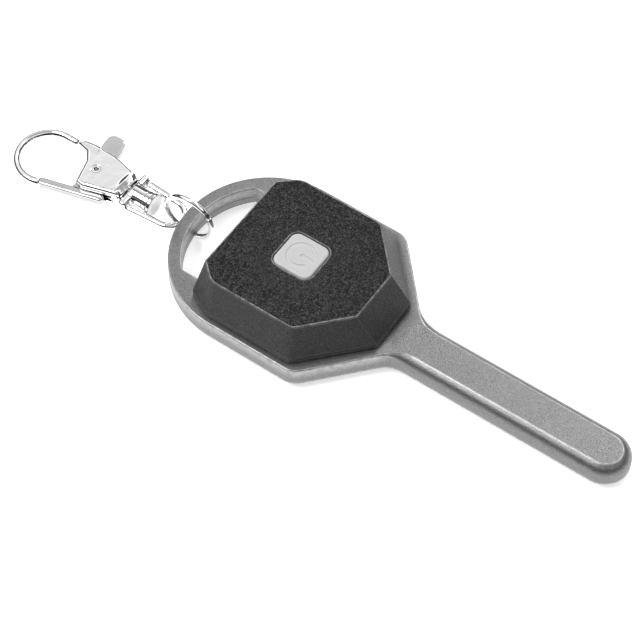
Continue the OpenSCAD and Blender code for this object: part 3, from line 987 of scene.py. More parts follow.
def from_node(node: str, name: str, edge: float) -> bpy.types.Object:
    """Copy of a CAD node with its triangles merged into whole faces and its edges rounded.

    Args:
        node: the CAD node.
        name: the new piece's name.
        edge: radius of the edges, in millimetres.

    Returns:
        The piece.
    """
    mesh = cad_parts[node].data.copy()
    mesh.name = name
    work = bmesh.new()
    work.from_mesh(mesh)
    bmesh.ops.remove_doubles(work, verts=work.verts, dist=1e-6)
    bmesh.ops.dissolve_limit(work, angle_limit=math.radians(1.0), verts=work.verts, edges=work.edges)
    work.to_mesh(mesh)
    work.free()
    mesh.shade_smooth()
    piece = bpy.data.objects.new(name, mesh)
    bpy.context.scene.collection.objects.link(piece)
    bevel = piece.modifiers.new("rounded edges", "BEVEL")
    bevel.width = edge * MM
    bevel.segments = 3
    bevel.limit_method = "ANGLE"
    bevel.angle_limit = math.radians(38)
    bevel.harden_normals = True
    return piece


# ---------------------------------------------------------------- key body


def swept_ring(outline: Outline, path: Array) -> list[Array]:
    """Rings of an outline carried along a path of (inset, height) pairs.

    Args:
        outline: the plan outline.
        path: (rows, 2), or (rows, 2, n) where each point of the outline has its own path.

    Returns:
        One ring a row.
    """
    return [outline.moved_in(row[0], row[1]) for row in path]


def quarter(radius: Array | float, count: int) -> Array:
    """Quarter round as (inset, drop) pairs from the side to the top: r(1 - cos a), r(1 - sin a).

    Args:
        radius: the radius, one for all or one a point.
        count: rows.

    Returns:
        (count, 2) or (count, 2, n).
    """
    angle = np.linspace(0, math.pi / 2, count)
    inset = np.multiply.outer(1 - np.cos(angle), radius)
    drop = np.multiply.outer(1 - np.sin(angle), radius)
    return np.stack([inset, drop], axis=1)


@dataclass
class KeyShells:
    """The two silver shells, their battery door and screws."""

    shell: Box = field(default_factory=lambda: Box.of("upper_shell"))
    lower: Box = field(default_factory=lambda: Box.of("lower_shell"))
    blade_w: float = 10.0
    loop_bar: float = 2.65
    slot_w: float = 23.4
    slot_x: float = -14.3
    slot_corner: float = 1.5
    slot_end: float = 0.7
    shoulder_x: float = 11.1
    shoulder_r: float = 4.0
    neck_x: float = 23.7
    neck_r: float = 5.0
    deck_edge: float = 0.3
    blade_edge: float = 2.7
    blade_crease: float = 20.0
    blade_edge_from: tuple[float, float] = (22.0, 28.5)
    beyond_crease: tuple[float, float] = (0.03, 0.12)
    foot_edge: float = 0.3
    skirt: float = 0.8
    slot_edge: float = 0.22
    well_r: float = 12.6
    channel_half: float = 3.6
    channel_step: float = 17.0
    channel_end: float = 65.6
    channel_roof: float = 5.35

    @property
    def head_r(self) -> float:
        """Radius of the round back of the head."""
        return float(self.shell.high[1] - self.shell.low[1]) / 2

    @property
    def loop_x(self) -> float:
        """Centre of the round back of the head."""
        return float(self.shell.low[0]) + self.head_r

    @property
    def seam(self) -> float:
        """Height of the seam between the shells."""
        return float(self.lower.high[2]) + 0.05

    def outline(self) -> Outline:
        """Plan of the key: round head, slanted shoulders, hollow neck, straight blade and round tip."""
        head, blade, tip = self.head_r, self.blade_w / 2, float(self.shell.high[0])
        back = arc((self.loop_x, 0), head, 90, 270, 121)
        shoulder = corner((self.loop_x, -head), (self.shoulder_x, -head), (self.neck_x, -blade), self.shoulder_r, 14)
        neck = corner((self.shoulder_x, -head), (self.neck_x, -blade), (tip, -blade), self.neck_r, 16)
        low = joined([
            straight(back.points[-1], shoulder.points[0], 10), shoulder,
            straight(shoulder.points[-1], neck.points[0], 10), neck,
            straight(neck.points[-1], np.array([tip - blade, -blade]), 60),
        ])
        nose = arc((tip - blade, 0), blade, -90, 90, 49)
        flip = np.array([1.0, -1.0])
        high = Outline(low.points[::-1] * flip, low.normals[::-1] * flip)
        return joined([back, low, nose, high])

    def slot(self) -> Outline:
        """Plan of the loop's slot, anticlockwise, normals out of the slot."""
        half, radius = self.slot_w / 2, self.head_r - self.loop_bar
        turn = math.degrees(math.acos(-math.sqrt(radius**2 - half**2) / radius))
        meet = np.array([self.loop_x + radius * math.cos(math.radians(turn)), half])
        along = np.array([-math.sin(math.radians(turn)), math.cos(math.radians(turn))])
        upper = corner((self.slot_x, half), meet, meet + along, self.slot_end, 7)
        back_off = math.degrees(np.linalg.norm(upper.points[-1] - meet) / radius)
        flip = np.array([1.0, -1.0])
        lower = Outline(upper.points[::-1] * flip, upper.normals[::-1] * flip)
        first = corner((self.loop_x, -half), (self.slot_x, -half), (self.slot_x, half), self.slot_corner, 10)
        second = Outline(first.points[::-1] * flip, first.normals[::-1] * flip)
        bar = arc((self.loop_x, 0), radius, turn + back_off, 360 - turn - back_off, 71)
        return joined([first, straight(first.points[-1], second.points[0], 24), second,
                       straight(second.points[-1], upper.points[0], 6), upper,
                       Outline(bar.points[1:-1], bar.normals[1:-1]), lower,
                       straight(lower.points[-1], first.points[0], 6)])

    def edge_radius(self, outline: Outline) -> Array:
        """Radius of the upper edge at each point: small on the head, large along the blade."""
        return self.deck_edge + (self.blade_edge - self.deck_edge) * self.blade_share(outline)

    def blade_share(self, outline: Outline) -> Array:
        """How far each point is along the change from head to blade, 0 to 1."""
        return smoothstep(*self.blade_edge_from, outline.points[:, 0])

    def top_rows(self, outline: Outline, deck: float) -> list[Array]:
        """Rows of the upper edge, from the upright wall to the flat deck.

        The section is an arc of radius R whose surface leans from a = 90 degrees to the crease angle c:
        inset R (1 - sin a), height deck - R (cos c - cos a). On the blade c leaves a crisp crease.

        Args:
            outline: plan of the key.
            deck: height of the deck.

        Returns:
            Rows of (inset, height) for each point of the outline.
        """
        radius = self.edge_radius(outline)
        crease = np.radians(self.blade_crease) * self.blade_share(outline)
        steps = np.append(np.linspace(0, 1, 12), 1.0)
        steps[-2] = 0.985
        rows = []
        for step in steps:
            lean = math.pi / 2 + (crease - math.pi / 2) * step
            rows.append(np.stack([radius * (1 - np.sin(lean)), deck - radius * (np.cos(crease) - np.cos(lean))]))
        for beyond in self.beyond_crease:
            rows.append(np.stack([rows[-1][0] + beyond, np.full(len(radius), deck)]))
        return rows

    def upper(self) -> bpy.types.Object:
        """Upper shell: a wall carried round the outline, a deck with slot and well, and the wiring channel."""
        outline, slot = self.outline(), self.slot()
        n = len(outline.points)
        deck, foot, seam = float(self.shell.high[2]), float(self.shell.low[2]), self.seam
        inner = np.array([[self.skirt, seam], [self.skirt, foot + 0.1], [self.skirt, foot + 0.05]])
        bottom = quarter(self.foot_edge, 5)[::-1]
        rows = [np.broadcast_to(r[:, None], (2, n)) for r in np.vstack([
            inner, [[self.skirt - 0.06, foot]], bottom + [0, foot], [[0, foot + 0.9]]])]
        rows += self.top_rows(outline, deck)
        made = Surface()
        rings = swept_ring(outline, np.stack(rows))
        made.rings(rings)
        hole = swept_ring(slot, np.vstack([
            [[-self.slot_edge - 0.1, deck]],
            (quarter(self.slot_edge, 5) * [-1, -1] + [0, deck])[::-1],
            [[0, seam + 0.3]], quarter(0.12, 4) * [-1, 1] + [0, seam], [[-0.2, seam]]]))
        made.rings(hole)
        half, well = self.channel_half, self.well_r
        start = math.degrees(math.asin(half / well))
        round_well = arc((0, 0), well, start, 360 - start, 73).points
        step = np.array([[self.channel_step, -half], [self.channel_step, half]])
        end = arc((self.channel_end, 0), half, -90, 90, 17).points
        channel = np.vstack([round_well, step[:1], end, step[1:]])
        tall = np.vstack([round_well, step])
        made.rings([lifted(channel, seam), lifted(channel, self.channel_roof)])
        made.rings([lifted(tall, self.channel_roof), lifted(tall, deck)])
        made.cap(lifted(np.vstack([step[:1], end, step[1:]]), self.channel_roof))
        made.cap(rings[-1], [hole[0], lifted(tall, deck)])
        made.cap(rings[0], [hole[-1], lifted(channel, seam)])
        return made.piece("upper_shell_skin")

    def build(self, wardrobe: Wardrobe) -> None:
        """Makes the silver pieces and dresses the screws."""
        wardrobe.fit(self.upper(), "light", Slot.SILVER, "upper_shell")
        wardrobe.fit(from_node("lower_shell", "lower_shell_skin", 0.12), "light", Slot.SILVER, "lower_shell")
        wardrobe.fit(from_node("battery_door", "battery_door_skin", 0.12), "light", Slot.SILVER, "battery_door")
        for node in ("door_screws", "shell_screws"):
            wardrobe.dress(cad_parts[node], Slot.SCREW)


def lifted(plan: Array, height: float) -> Array:
    """Plan points as a ring at one height."""
    return np.column_stack([plan, np.full(len(plan), height)])


# ---------------------------------------------------------------- cover and button


def matched(half: Sequence[Sequence[float]], radii: Sequence[float], counts: Sequence[int]) -> Outline:
    """Outline given by its +Y half, from its back middle to its front middle, mirrored about X.

    Two such outlines with the same counts match point for point.

    Args:
        half: the half's corners, the first and last on the X axis.
        radii: radius of each corner between them.
        counts: points on each straight between corners.

    Returns:
        The outline, anticlockwise from the front middle.
    """
    way = half[::-1]
    bends = [corner(way[i], way[i + 1], way[i + 2], radii[::-1][i], 9) for i in range(len(way) - 2)]
    front = Outline(np.array([way[0]], float), np.array([[1.0, 0.0]]))
    rear = Outline(np.array([way[-1]], float), np.array([[-1.0, 0.0]]))
    stops = [front, *bends, rear]
    parts = [front]
    for before, after, count in zip(stops[:-1], stops[1:], counts[::-1]):
        parts += [straight(before.points[-1], after.points[0], count), after]
    upper = joined(parts)
    flip = np.array([1.0, -1.0])
    return joined([upper, Outline(upper.points[-2:0:-1] * flip, upper.normals[-2:0:-1] * flip)])


@dataclass
class Cover:
    """Charcoal cover with an upright lip, bevelled sides and a dish round the button."""

    box: Box = field(default_factory=lambda: Box.of("top_cover"))
    button: Box = field(default_factory=lambda: Box.of("button_cap"))
    foot_half: tuple = ((-14.2, 0), (-14.2, 15.3), (-9.3, 17.7), (9.6, 17.7), (20.9, 5.6), (20.9, 0))
    foot_radii: tuple = (1.0, 6.0, 2.6, 0.6)
    top_half: tuple = ((-13.9, 0), (-13.9, 11.2), (-10.3, 14.5), (8.1, 14.5), (16.4, 5.6), (16.4, 0))
    top_radii: tuple = (0.8, 4.0, 2.0, 0.6)
    straights: tuple = (10, 2, 14, 8, 6)
    lip_h: float = 1.4
    wall: float = 1.3
    foot_gap: float = 0.16
    lip_crease: float = 0.28
    top_crease: float = 0.3
    top_margin: float = 0.42
    crease_guard: float = 0.12
    dish_r: float = 9.5
    dish_depth: float = 0.6
    dish_lip: float = 0.35
    hole_half: float = 4.32
    hole_r: float = 1.82
    hole_edge: float = 0.18

    def sides(self) -> tuple[list[Array], list[Array]]:
        """Outer rings from the foot to the flat top, and inner rings back down.

        Each point's section is a polyline foot, lip, top edge, flat, whose two creases are quadratic
        curves (1-t)^2 p + 2t(1-t) b + t^2 q between points a crease's radius before and after b.
        A guard ring just outside each crease keeps its wear and painted edge highlight off the slopes.

        Returns:
            Outer rings upwards and inner rings downwards.
        """
        foot = matched(self.foot_half, self.foot_radii, self.straights)
        top = matched(self.top_half, self.top_radii, self.straights)
        low, high = float(self.box.low[2]), float(self.box.high[2])
        start = foot.moved_in(self.foot_gap, low)
        rise = foot.moved_in(0, low + self.foot_gap)
        lip = foot.moved_in(0, low + self.lip_h)
        crest = top.moved_in(0, high)
        flat = top.moved_in(self.top_margin, high)
        rings = [start, rise]
        for before, bend, after, radius in ((rise, lip, crest, self.lip_crease), (lip, crest, flat, self.top_crease)):
            back, onward = unit_rows(before - bend), unit_rows(after - bend)
            p, q = bend + radius * back, bend + radius * onward
            t = np.linspace(0, 1, 7)[:, None, None]
            rings.append(p + self.crease_guard * back)
            rings += list((1 - t) ** 2 * p + 2 * t * (1 - t) * bend + t**2 * q)
            rings.append(q + self.crease_guard * onward)
        wall = self.wall
        wide_foot = matched(self.foot_half, [r + wall for r in self.foot_radii], self.straights)
        wide_top = matched(self.top_half, [r + wall for r in self.top_radii], self.straights)
        inner = [wide_top.moved_in(wall, high - wall), wide_foot.moved_in(wall, low + self.lip_h),
                 wide_foot.moved_in(wall, low), start]
        return rings, inner

    def dish(self, r: Array) -> Array:
        """Depth of the dish at a distance from the button's axis: a shallow ball, with its rim eased.

        The ball's cap is depth (1 - (r/R)^2); near the rim the slope fades out over dish_lip.
        """
        cap = self.dish_depth * np.clip(1 - (r / self.dish_r) ** 2, 0, 1)
        over = np.clip((r - self.dish_r + self.dish_lip) / (2 * self.dish_lip), 0, 1)
        slope = 2 * self.dish_depth / self.dish_r
        eased = slope * self.dish_lip * (1 - over) ** 2
        return np.where(r < self.dish_r - self.dish_lip, cap, eased)

    def build(self, wardrobe: Wardrobe) -> None:
        """Makes the cover."""
        made = Surface()
        outer, inner = self.sides()
        made.rings(outer)
        made.rings(inner)
        high = float(self.box.high[2])
        n = 160
        angle = np.linspace(0, 2 * math.pi, n, endpoint=False)
        rim = (self.dish_r + self.dish_lip) * np.column_stack([np.cos(angle), np.sin(angle)])
        hole = square_ring(self.hole_half, self.hole_r, angle)
        normal = unit_rows(np.roll(hole, -1, axis=0) - np.roll(hole, 1, axis=0)) @ np.array([[0, -1], [1, 0]])
        mouth = hole + normal * self.hole_edge
        share = np.concatenate([np.linspace(0, 0.12, 7), np.linspace(0.12, 1, 26)[1:]])[:, None, None]
        bowl = rim + (mouth - rim) * share
        depth = self.dish(np.linalg.norm(bowl, axis=-1))
        made.grid(np.concatenate([bowl, (high - depth)[..., None]], axis=-1))
        level = high - depth[-1]
        rows = [np.column_stack([hole + normal * (self.hole_edge * (1 - math.sin(a))),
                                 level - self.hole_edge * (1 - math.cos(a))])
                for a in np.linspace(0, math.pi / 2, 6)]
        bottom = lifted(hole, high - self.wall)
        made.grid(np.stack(rows + [bottom]))
        made.cap(outer[-1], [lifted(rim, high)])
        made.cap(inner[0], [bottom])
        wardrobe.fit(made.piece("cover_shell"), "light", Slot.CHARCOAL, "top_cover")


def unit_rows(rows: Array) -> Array:
    """Each row divided by its length."""
    return rows / np.linalg.norm(rows, axis=-1, keepdims=True)


def square_ring(half: float, radius: float, angle: Array) -> Array:
    """Where rays at given angles leave a rounded square.

    A ray first meets the square's side at half / max(|cos|, |sin|). If that lies in a corner's zone,
    it meets the corner's circle instead, at b + sqrt(b^2 - c^2 + r^2) with b the ray's share of the
    corner's centre.

    Args:
        half: half the square's side.
        radius: radius of its corners.
        angle: the rays' angles in radians.

    Returns:
        (n, 2) points.
    """
    way = np.column_stack([np.cos(angle), np.sin(angle)])
    reach = half / np.abs(way).max(axis=1)
    hit = way * reach[:, None]
    flat = half - radius
    in_corner = np.abs(hit).min(axis=1) > flat
    middle = np.sign(way) * flat
    along = (way * middle).sum(axis=1)
    inner = np.sqrt(np.clip(along**2 - 2 * flat**2 + radius**2, 0, None))
    return np.where(in_corner[:, None], way * (along + inner)[:, None], hit)


@dataclass
class Button:
    """Soft square button with a sunk power symbol, its flange and its stub."""

    box: Box = field(default_factory=lambda: Box.of("button_cap"))
    half: float = 4.2
    corner_r: float = 1.7
    edge: float = 0.55
    crown: float = 0.1
    flange_out: float = 1.0
    flange_h: float = 0.4
    flange_z: float = 10.7
    symbol_depth: float = 0.2
    symbol_ring: tuple[float, float] = (2.2, 2.9)
    symbol_bar: tuple[float, float, float] = (0.0, 3.0, 0.35)
    symbol_gap: float = 3.0 / 4.0
    symbol_soft: float = 0.1

    def symbol(self, x: Array, y: Array) -> Array:
        """Height of the sunk symbol: a ring open towards +X, with a bar across the opening.

        Args:
            x: plan x.
            y: plan y.

        Returns:
            Height at each point, 0 or less.
        """
        r = np.hypot(x, y)
        low, high = self.symbol_ring
        ring = np.maximum(np.abs(r - (low + high) / 2) - (high - low) / 2,
                          (x * self.symbol_gap - np.abs(y)) / math.hypot(1, self.symbol_gap))
        start, end, thick = self.symbol_bar
        bar = np.maximum(np.abs(x - (start + end) / 2) - (end - start) / 2, np.abs(y) - thick)
        return -self.symbol_depth * (1 - smoothstep(-self.symbol_soft, self.symbol_soft, np.minimum(ring, bar)))

    def build(self, wardrobe: Wardrobe) -> None:
        """Makes the cap: rings of a rounded square from the flange up, then shrinking to the middle."""
        angle = np.linspace(0, 2 * math.pi, 256, endpoint=False)
        top = float(self.box.high[2]) - self.crown
        stub = 1.6
        low = float(self.box.low[2])
        made = Surface()
        skirt = self.half + self.flange_out
        rows = [lifted(square_ring(stub, stub, angle), low),
                lifted(square_ring(stub, stub, angle), self.flange_z),
                lifted(square_ring(skirt, self.corner_r + 1, angle), self.flange_z),
                lifted(square_ring(skirt, self.corner_r + 1, angle), self.flange_z + self.flange_h),
                lifted(square_ring(self.half, self.corner_r, angle), self.flange_z + self.flange_h)]
        rows += [lifted(square_ring(self.half - row[0], self.corner_r - row[0], angle), top - row[1])
                 for row in quarter(self.edge, 9)]
        last = square_ring(self.half - self.edge, self.corner_r - self.edge, angle)
        share = np.linspace(1, 0.02, 96)[:, None, None]
        plan = last * share
        height = top + self.crown * (1 - share[..., 0] ** 2) + self.symbol(plan[..., 0], plan[..., 1])
        made.rings(rows)
        face = np.concatenate([plan, height[..., None]], axis=-1)
        made.grid(face)
        made.pole(face[-1], np.array([0, 0, top + self.crown]))
        made.pole(rows[0], np.array([0, 0, low]))
        wardrobe.fit(made.piece("button_cap_skin"), "button", Slot.SILICONE, "button_cap")
        wardrobe.dress(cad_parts["switch_plunger"], Slot.BLACK)


# ---------------------------------------------------------------- inside and lamp


@dataclass
class Works:
    """Everything between the shells, and the light bar's milky window."""

    dressed: dict[str, Slot] = field(default_factory=lambda: {
        "switch_body": Slot.SWITCH, "circuit_board": Slot.BOARD, "driver_parts": Slot.BLACK,
        "cell_holder": Slot.BLACK, "cell_upper": Slot.CELL, "cell_lower": Slot.CELL,
        "contact_positive": Slot.BRASS, "contact_negative": Slot.BRASS, "door_seal": Slot.RUBBER,
        "led_board": Slot.LAMP_BOARD, "led_strip": Slot.PHOSPHOR,
        "bus_positive": Slot.BRASS, "bus_negative": Slot.BRASS,
    })

    def build(self, wardrobe: Wardrobe) -> None:
        """Dresses the inner CAD nodes and makes the window."""
        for node, slot in self.dressed.items():
            wardrobe.dress(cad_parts[node], slot)
        wardrobe.fit(from_node("light_lens", "lamp_window", 0.15), "light", Slot.LENS, "light_lens")


# ---------------------------------------------------------------- ring, swivel and clasp


@dataclass
class JumpRing:
    """Round-wire ring, cut once and closed butt to butt."""

    box: Box = field(default_factory=lambda: Box.of("jump_ring"))
    mean_r: float = 5.2
    wire: float = 1.15
    turn: float = 3.0
    cut_at: float = 30.0
    cut: float = 1.4
    ease: float = 0.12

    def build(self, wardrobe: Wardrobe) -> None:
        """Carries a circle round the ring's angle; its radius dips at the two cut ends."""
        span = np.radians(np.linspace(self.cut_at + self.cut / 2, self.cut_at + 360 - self.cut / 2, 220))
        section = np.linspace(0, 2 * math.pi, 40, endpoint=False)
        wire = np.full(len(span), self.wire / 2)
        wire[[0, -1]] -= self.ease
        wire[[1, -2]] -= self.ease * 0.2
        span[1], span[-2] = span[0] + self.ease / self.mean_r, span[-1] - self.ease / self.mean_r
        reach = self.mean_r + wire[:, None] * np.cos(section)
        flat = np.stack([reach * np.cos(span)[:, None], -wire[:, None] * np.sin(section) * np.ones_like(reach),
                         reach * np.sin(span)[:, None]], axis=-1)
        a = math.radians(self.turn)
        spin = np.array([[math.cos(a), -math.sin(a), 0], [math.sin(a), math.cos(a), 0], [0, 0, 1]])
        points = flat @ spin.T + self.box.centre
        made = Surface()
        made.grid(points)
        made.pole(points[0], points[0].mean(axis=0))
        made.pole(points[-1], points[-1].mean(axis=0))
        wardrobe.fit(made.piece("jump_ring_skin"), "ring", Slot.NICKEL, "jump_ring")


@dataclass
class Swivel:
    """Bow of the swivel, and the headed stem and washer that hold it to the clasp."""

    bow: Box = field(default_factory=lambda: Box.of("swivel_bow"))
    stem: Box = field(default_factory=lambda: Box.of("swivel_stem"))
    washer: Box = field(default_factory=lambda: Box.of("swivel_washer"))
    wire: float = 1.4
    base_y: float = 3.6
    base_t: float = 1.55
    base_half_h: float = 1.5
    boss: tuple[float, float] = (-36.2, 2.2)
    end_x: float = -30.8
    end_r: float = 3.0
    bore: float = 1.28
    stem_r: float = 1.2
    head_t: float = 0.9
    head_edge: float = 0.28
    blend: float = 0.7

    def bow_field(self, p: Array) -> Array:
        """Base plate and boss, two arms and a half ring, melted together and bored through."""
        y, z = float(self.bow.centre[1]), float(self.bow.centre[2])
        q = p - np.array([0, y, z])
        left = float(self.bow.low[0])
        middle = left + self.base_t / 2
        inner = self.wire / 2 - 0.1
        block = np.stack([np.abs(q[..., 0] - middle) - self.base_t / 2 + inner,
                          np.abs(q[..., 1]) - self.base_y - self.wire / 2 + inner,
                          np.abs(q[..., 2]) - self.base_half_h + inner], axis=-1)
        base = np.linalg.norm(np.maximum(block, 0), axis=-1) + np.minimum(block.max(axis=-1), 0) - inner
        reach = np.hypot(q[..., 1], q[..., 2])
        boss_end, boss_r = self.boss
        boss = np.maximum(reach - boss_r, np.abs(q[..., 0] - (middle + boss_end) / 2) - (boss_end - middle) / 2)
        arms = rod_field(np.stack([q[..., 0], np.abs(q[..., 1]), q[..., 2]], axis=-1),
                         (middle, self.base_y, 0), (self.end_x, self.end_r, 0), self.wire / 2)
        end = bend_field(p, (self.end_x, y, z), self.end_r, (-90, 90), (self.wire / 2, self.wire / 2))
        shape = soft_union(soft_union(base, boss, 0.3), np.minimum(arms, end), self.blend)
        return np.maximum(shape, self.bore - reach)

    def build(self, wardrobe: Wardrobe) -> None:
        """Makes the three pieces."""
        margin, step = 0.4, 0.12
        bow = field_piece("swivel_bow_skin", self.bow_field, self.bow.low - margin, self.bow.high + margin, step)
        wardrobe.fit(bow, "bow", Slot.NICKEL, "swivel_bow")
        start, end = float(self.stem.low[0]), float(self.stem.high[0])
        head = float(self.stem.high[2] - self.stem.low[2]) / 2
        edge = self.head_edge
        profile = softened([(start, 0.001), (start, self.stem_r), (end - self.head_t, self.stem_r),
                            (end - self.head_t, head), (end, head), (end, 0.001)], [0.2, 0.1, edge, edge])
        made = Surface()
        points = turned(profile, 72) + np.array([0, *self.stem.centre[1:]])
        made.grid(points)
        # the stem's satin copy of nickel is darker as painted shade
        wardrobe.fit(made.piece("swivel_stem_skin"), "clasp", Slot.NICKEL, "swivel_stem", variant="_satin")
        low, high = float(self.washer.low[0]), float(self.washer.high[0])
        outer = float(self.washer.high[2] - self.washer.low[2]) / 2
        bore = self.stem_r + 0.05
        loop = softened([(low + 0.3, bore), (low, bore), (low, outer), (high, outer), (high, bore), (low + 0.3, bore)],
                        [0.08, 0.16, 0.16, 0.08])
        made = Surface()
        made.grid(turned(loop, 64) + np.array([0, *self.washer.centre[1:]]))
        wardrobe.fit(made.piece("swivel_washer_skin"), "clasp", Slot.NICKEL, "swivel_washer")


@dataclass
class Clasp:
    """Snap clasp: hook and cheeks in one casting, a pivoted lever with thumb tab and gate, rivet and spring."""

    body: Box = field(default_factory=lambda: Box.of("clasp_body"))
    lever: Box = field(default_factory=lambda: Box.of("clasp_lever"))
    rivet: Box = field(default_factory=lambda: Box.of("clasp_rivet"))
    at: tuple[float, float] = (0.4, -0.75)
    hook_centre: tuple[float, float] = (-58.8, -2.8)
    hook_r: float = 6.2
    hook_span: tuple[float, float] = (90.0, 288.0)
    hook_half: tuple[float, float] = (0.85, 1.15)
    arm_to: float = -51.6
    cheeks: tuple = ((-55.4, 2.6), (-54.4, 3.9), (-52.2, 4.3), (-47.0, 4.2), (-41.4, 2.9), (-41.4, -3.4),
                     (-48.4, -5.45), (-50.0, -5.2), (-50.7, -2.7), (-51.4, -0.1), (-52.9, 1.9))
    cheek_edge: float = 0.75
    space: tuple = ((-52.2, 9.0), (-52.2, 1.1), (-55.5, -1.7), (-56.0, -8.5), (-42.3, -8.5), (-42.3, -3.2),
                    (-44.0, -3.2), (-44.0, 9.0))
    space_t: float = 1.8
    collar: tuple[float, float, float, float] = (-42.1, -40.6, 3.3, 2.3)
    bore: float = 1.21
    pivot: tuple[float, float] = (-48.3, -0.7)
    pivot_r: float = 0.9
    lever_t: float = 1.5
    hub_r: float = 2.6
    web: tuple = ((-50.4, -1.7), (-50.7, -6.6), (-45.9, -5.4), (-46.2, -1.7))
    tab: tuple = ((-50.7, 0.3), (-51.8, 4.8), (-52.4, 9.1), (-48.4, 9.1), (-47.3, 4.8), (-45.9, 0.3))
    tab_radii: tuple = (0.1, 1.0, 1.6, 1.4, 1.0, 0.1)
    tab_from: float = 2.9
    gate: tuple = ((-56.2, -8.15), (-43.6, -4.75))
    gate_w: float = 1.7
    gate_h: float = 1.6

    @property
    def z(self) -> float:
        """Height of the clasp's middle plane."""
        return float(self.body.centre[2])

    def local(self, p: Array) -> Array:
        """Points as the clasp is drawn, with its swivel's axis on Y = 0."""
        return p - np.array([*self.at, 0.0])

    def body_field(self, p: Array) -> Array:
        """Hook, arm, cheeks and collar melted together, less the lever's space and the stem's bore."""
        z, p = self.z, self.local(p)
        hook = bend_field(p, (*self.hook_centre, z), self.hook_r, self.hook_span, self.hook_half)
        tall = p[..., 2] - z
        arm = np.maximum(oval(p[..., 1] - self.hook_centre[1] - self.hook_r, tall, self.hook_half),
                         np.abs(p[..., 0] - (self.hook_centre[0] + self.arm_to) / 2)
                         - (self.arm_to - self.hook_centre[0]) / 2)
        half = float(self.body.high[2] - self.body.low[2]) / 2
        cheeks = slab_field(p, self.cheeks, z - half, z + half, self.cheek_edge)
        start, end, wide, high = self.collar
        disc = np.stack([oval(p[..., 1], tall, (wide, high)) + 0.35,
                         np.abs(p[..., 0] - (start + end) / 2) - (end - start) / 2 + 0.35], axis=-1)
        disc = np.linalg.norm(np.maximum(disc, 0), axis=-1) + np.minimum(disc.max(axis=-1), 0) - 0.35
        shape = soft_union(soft_union(hook, arm, 0.15), cheeks, 1.4)
        shape = soft_union(shape, disc, 0.8)
        space = slab_field(p, self.space, z - self.space_t / 2, z + self.space_t / 2, 0.05)
        shape = soft_cut(shape, space, 0.12)
        hole = np.hypot(p[..., 0] - self.pivot[0], p[..., 1] - self.pivot[1]) - self.pivot_r
        stem = np.maximum(np.hypot(p[..., 1], tall) - self.bore, -43.5 - p[..., 0])
        return np.maximum(np.maximum(shape, -hole), -stem)

    def lever_field(self, p: Array) -> Array:
        """Hub, web, thumb tab and gate melted together, less the rivet's hole."""
        z, t, p = self.z, self.lever_t, self.local(p)
        flat = np.hypot(p[..., 0] - self.pivot[0], p[..., 1] - self.pivot[1])
        low, high = z - t / 2, z + t / 2
        thin = np.abs(p[..., 2] - (low + high - 0.5) / 2) - (high - 0.5 - low) / 2
        hub = np.maximum(flat - self.hub_r, thin)
        web = slab_field(p, self.web, low, high - 0.5, 0.1)
        # the tab's loop is clockwise, and only its distance and its inside are used
        plan = rounded(self.tab, self.tab_radii, 8).points
        tab = slab_field(p, plan, low, high, 0.3)
        stem = np.maximum(slab_field(p, plan, low, high - 0.5, 0.1), p[..., 1] - self.tab_from)
        tab = np.maximum(tab, self.tab_from - p[..., 1])
        (ax, ay), (bx, by) = self.gate
        way = np.array([bx - ax, by - ay]) / math.hypot(bx - ax, by - ay)
        q = p[..., :2] - np.array([(ax + bx) / 2, (ay + by) / 2])
        along, across = q @ way, q @ np.array([-way[1], way[0]])
        reach = math.hypot(bx - ax, by - ay) / 2
        over = np.maximum(np.abs(along + 0.4) - reach - 0.4 + self.gate_w / 2, 0)
        r = 0.45
        bar = np.stack([np.hypot(across, over) - self.gate_w / 2 + r,
                        np.abs(p[..., 2] - z) - self.gate_h / 2 + r], axis=-1)
        gate = np.linalg.norm(np.maximum(bar, 0), axis=-1) + np.minimum(bar.max(axis=-1), 0) - r
        shape = soft_union(soft_union(soft_union(hub, web, 0.3), stem, 0.3), tab, 0.12)
        return np.maximum(soft_union(shape, gate, 0.35), self.pivot_r + 0.06 - flat)

    def rivet_mesh(self) -> bpy.types.Object:
        """Hollow rivet turned about Z: a domed head with a rolled rim at each end."""
        low, high = float(self.rivet.low[2]), float(self.rivet.high[2])
        middle = (low + high) / 2
        head = float(self.rivet.high[0] - self.rivet.low[0]) / 2
        t, hollow, groove, top = 0.3, 0.5, 0.2, high - middle
        up = softened([(0.0, self.pivot_r), (top - t, self.pivot_r), (top - t, head), (top - 0.02, head * 0.94),
                       (top - 0.02, head * 0.76), (top - groove, head * 0.7), (top - groove, head * 0.62),
                       (top, head * 0.56), (top, hollow), (0.0, hollow)],
                      [0.02, 0.02, 0.14, 0.08, 0.05, 0.03, 0.05, 0.08, 0.08], 5)
        mirrored = np.array([-1, 1])
        ring = turned(np.vstack([up, (up[::-1] * mirrored)[1:-1]]), 64)
        ring = np.concatenate([ring, ring[:1]])
        made = Surface()
        x, y = self.pivot[0] + self.at[0], self.pivot[1] + self.at[1]
        made.grid(np.stack([ring[..., 1] + x, ring[..., 2] + y, ring[..., 0] + middle], axis=-1))
        return made.piece("clasp_rivet_skin")

    def build(self, wardrobe: Wardrobe) -> None:
        """Makes the clasp's pieces."""
        margin, lever_step = 0.5, 0.12
        body = field_piece("clasp_body_skin", self.body_field, self.body.low - margin, self.body.high + margin)
        wardrobe.fit(body, "clasp", Slot.NICKEL, "clasp_body")
        lever = field_piece("clasp_lever_skin", self.lever_field, self.lever.low - margin, self.lever.high + margin,
                            lever_step)
        # the lever's satin copy of nickel is darker as painted shade
        wardrobe.fit(lever, "lever", Slot.NICKEL, "clasp_lever", variant="_satin")
        wardrobe.fit(self.rivet_mesh(), "clasp", Slot.NICKEL, "clasp_rivet")
        wardrobe.dress(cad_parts["lever_spring"], Slot.SCREW)


